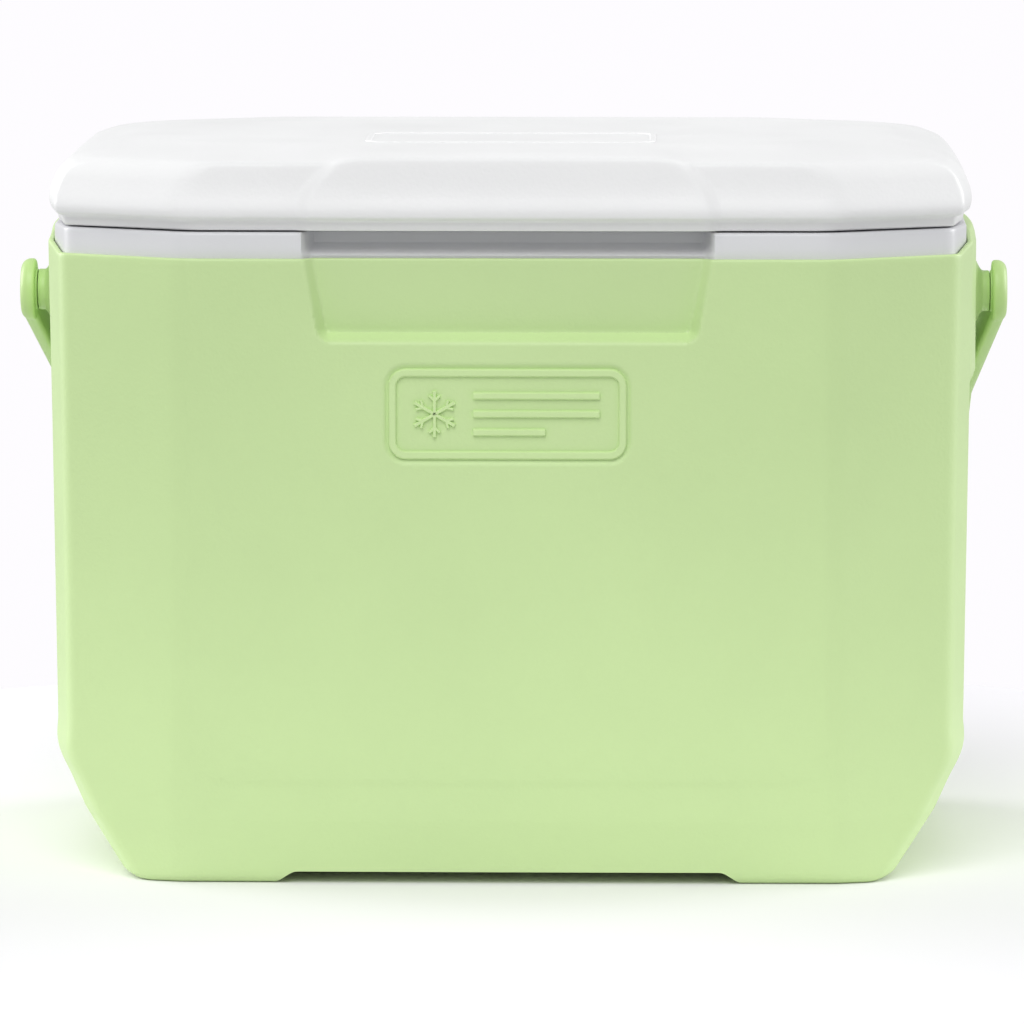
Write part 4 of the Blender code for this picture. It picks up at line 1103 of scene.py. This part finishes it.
def build_hinge(side, x):
    """One hinge: two leaves, a riveted pin and four screws."""
    _, pin_y, pin_z = HINGE_PIN
    _, shell_back, body_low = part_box(f"hinge_body_leaf_{side}")[0]
    lid_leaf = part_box(f"hinge_lid_leaf_{side}")
    lid_back = lid_leaf[0].y
    lid_high = lid_leaf[1].z
    body_face = shell_back + LEAF_THICK
    lid_face = lid_back + LEAF_THICK
    shoulder = 0.2800
    sill = 0.2870
    body_section = [(shell_back, body_low), (body_face, body_low), (body_face, shoulder - 0.0030)]
    body_section += knuckle(-70, 250) + [(shell_back, shoulder)]
    lid_section = [(lid_back, sill), *knuckle(-170, 250), (lid_face, sill + 0.0040)]
    lid_section += [(lid_face, lid_high), (lid_back, lid_high)]
    reach = KNUCKLE_RADIUS + 0.0009
    gap_half = KNUCKLE_SPLIT + 0.0005
    far = 0.0100  # past everything that a cutter has to reach
    low = (x - gap_half, pin_y - reach - 0.004, pin_z - reach)
    body_cuts = [block(low, (x + gap_half, pin_y + far, pin_z + far))]
    lid_cuts = []
    end = HINGE_HALF + far
    for start, stop in ((x - end, x - KNUCKLE_SPLIT), (x + KNUCKLE_SPLIT, x + end)):
        lid_cuts.append(block((start, pin_y - reach, pin_z - far), (stop, pin_y + far, pin_z + 0.0045)))
    for offset in (-SCREW_SIDE, SCREW_SIDE):
        body_cuts.append(screw_hole(x + offset, body_face, BODY_SCREW_Z))
        lid_cuts.append(screw_hole(x + offset, lid_face, LID_SCREW_Z))
    for body, section, cuts in (("body", body_section, body_cuts), ("lid", lid_section, lid_cuts)):
        mesh = softened(cut_by(leaf_mesh(section, x), cuts), 0.0003, 40.0, 2)
        node = f"hinge_{body}_leaf_{side}"
        finish_piece(f"hinge_{body}_skin_{side}", mesh, body, WHITE_SMOOTH, (node,))
    neck = HINGE_HALF + 0.0003
    head = PIN_RADIUS + 0.0006
    profile = [(-neck - 0.0009, head * 0.6), (-neck - 0.0006, head), (-neck, head), (-neck, PIN_RADIUS)]
    profile += [(-place, radius) for place, radius in reversed(profile)]
    pin = turned("pin", profile, 32)
    pin.transform(Matrix.Translation((x, pin_y, pin_z)))
    finish_piece(f"hinge_pin_skin_{side}", pin, "body", STEEL, (f"hinge_pin_{side}",))
    for number, offset in ((1, -SCREW_SIDE), (2, SCREW_SIDE)):
        for body, face, z, length in (
            ("body", body_face, BODY_SCREW_Z, 0.0130),
            ("lid", lid_face, LID_SCREW_Z, 0.0110),
        ):
            node = f"{body}_screw_{side}_{number}"
            mesh = screw_mesh(x + offset, face - 0.0001, z, length)
            finish_piece(f"{node}_skin", mesh, body, STEEL, (node,))


# ---------------- carried-over CAD nodes
def dress_cad_nodes():
    """Gives the CAD nodes that stay their own procedural materials."""
    stay = {FOAM: ("insulation_core", "lid_insulation"), STEEL: ("pivot_nut_left", "pivot_nut_right")}
    for surface, names in stay.items():
        for name in names:
            for material_slot in frame["nodes"][name].material_slots:
                material_slot.material = surface


# ---------------- floor, lights and camera
def away_from_front(compass, height):
    """The direction at a compass angle from the front and at a height angle, both in degrees."""
    compass = math.radians(compass)
    height = math.radians(height)
    level = math.cos(height)
    return Vector((math.sin(compass) * level, -math.cos(compass) * level, math.sin(height)))


def build_stage():
    """A pale floor, a white surround and soft lights."""
    shape = bmesh.new()
    bmesh.ops.create_circle(shape, cap_ends=True, segments=96, radius=FLOOR_RADIUS)
    floor = linked("floor", to_mesh("floor", shape))
    nodes = Nodes("floor_look")
    patches = nodes.ranged(nodes.noise(3.0), 0.3, 0.7, 0.0, 1.0)
    pale = nodes.mixed(patches, (0.925, 0.905, 0.945, 1.0), (0.935, 0.915, 0.955, 1.0))
    floor.data.materials.append(nodes.to_shader(Base_Color=pale, Roughness=0.8))

    world = bpy.data.worlds.new("studio")
    bpy.context.scene.world = world
    world.use_nodes = True
    tree = world.node_tree
    surround = tree.nodes["Background"]
    surround.inputs["Color"].default_value = (0.98, 0.99, 1.0, 1.0)
    surround.inputs["Strength"].default_value = SURROUND
    backdrop = tree.nodes.new("ShaderNodeBackground")
    backdrop.inputs["Color"].default_value = (0.99, 0.975, 1.0, 1.0)
    chooser = tree.nodes.new("ShaderNodeMixShader")
    ray = tree.nodes.new("ShaderNodeLightPath")
    tree.links.new(ray.outputs["Is Camera Ray"], chooser.inputs[0])
    tree.links.new(surround.outputs[0], chooser.inputs[1])
    tree.links.new(backdrop.outputs[0], chooser.inputs[2])
    tree.links.new(chooser.outputs[0], tree.nodes["World Output"].inputs[0])

    for name, compass, height, size, strength in LIGHTS:
        data = bpy.data.lights.new(name, "SUN")
        data.angle = math.radians(size)
        data.energy = strength
        light = linked(name, data)
        light.rotation_euler = away_from_front(compass, height).to_track_quat("Z", "Y").to_euler()
    bpy.context.scene.view_settings.view_transform = "Standard"


def build_camera():
    """A long lens, a little above the lid and a touch to the right."""
    aim = Vector((AIM_X, MIDDLE_Y - AIM_FORWARD, CAMERA_HEIGHT))
    data = bpy.data.cameras.new("camera")
    data.sensor_fit = "HORIZONTAL"
    data.sensor_width = 36.0
    data.lens = CAMERA_LENS
    data.clip_end = 50.0
    camera = linked("camera", data)
    camera.location = aim + away_from_front(CAMERA_COMPASS, 0.0) * CAMERA_DISTANCE
    facing = away_from_front(CAMERA_COMPASS, CAMERA_TILT)
    camera.rotation_euler = facing.to_track_quat("Z", "Y").to_euler()
    bpy.context.scene.camera = camera


build_shell()
build_emblem()
build_liner()
build_lid()
build_lid_panel()
build_lid_outline()
build_handle()
build_pivots()
for hinge_side, hinge_place in (("left", -HINGE_X), ("right", HINGE_X)):
    build_hinge(hinge_side, hinge_place)
dress_cad_nodes()
build_stage()
build_camera()
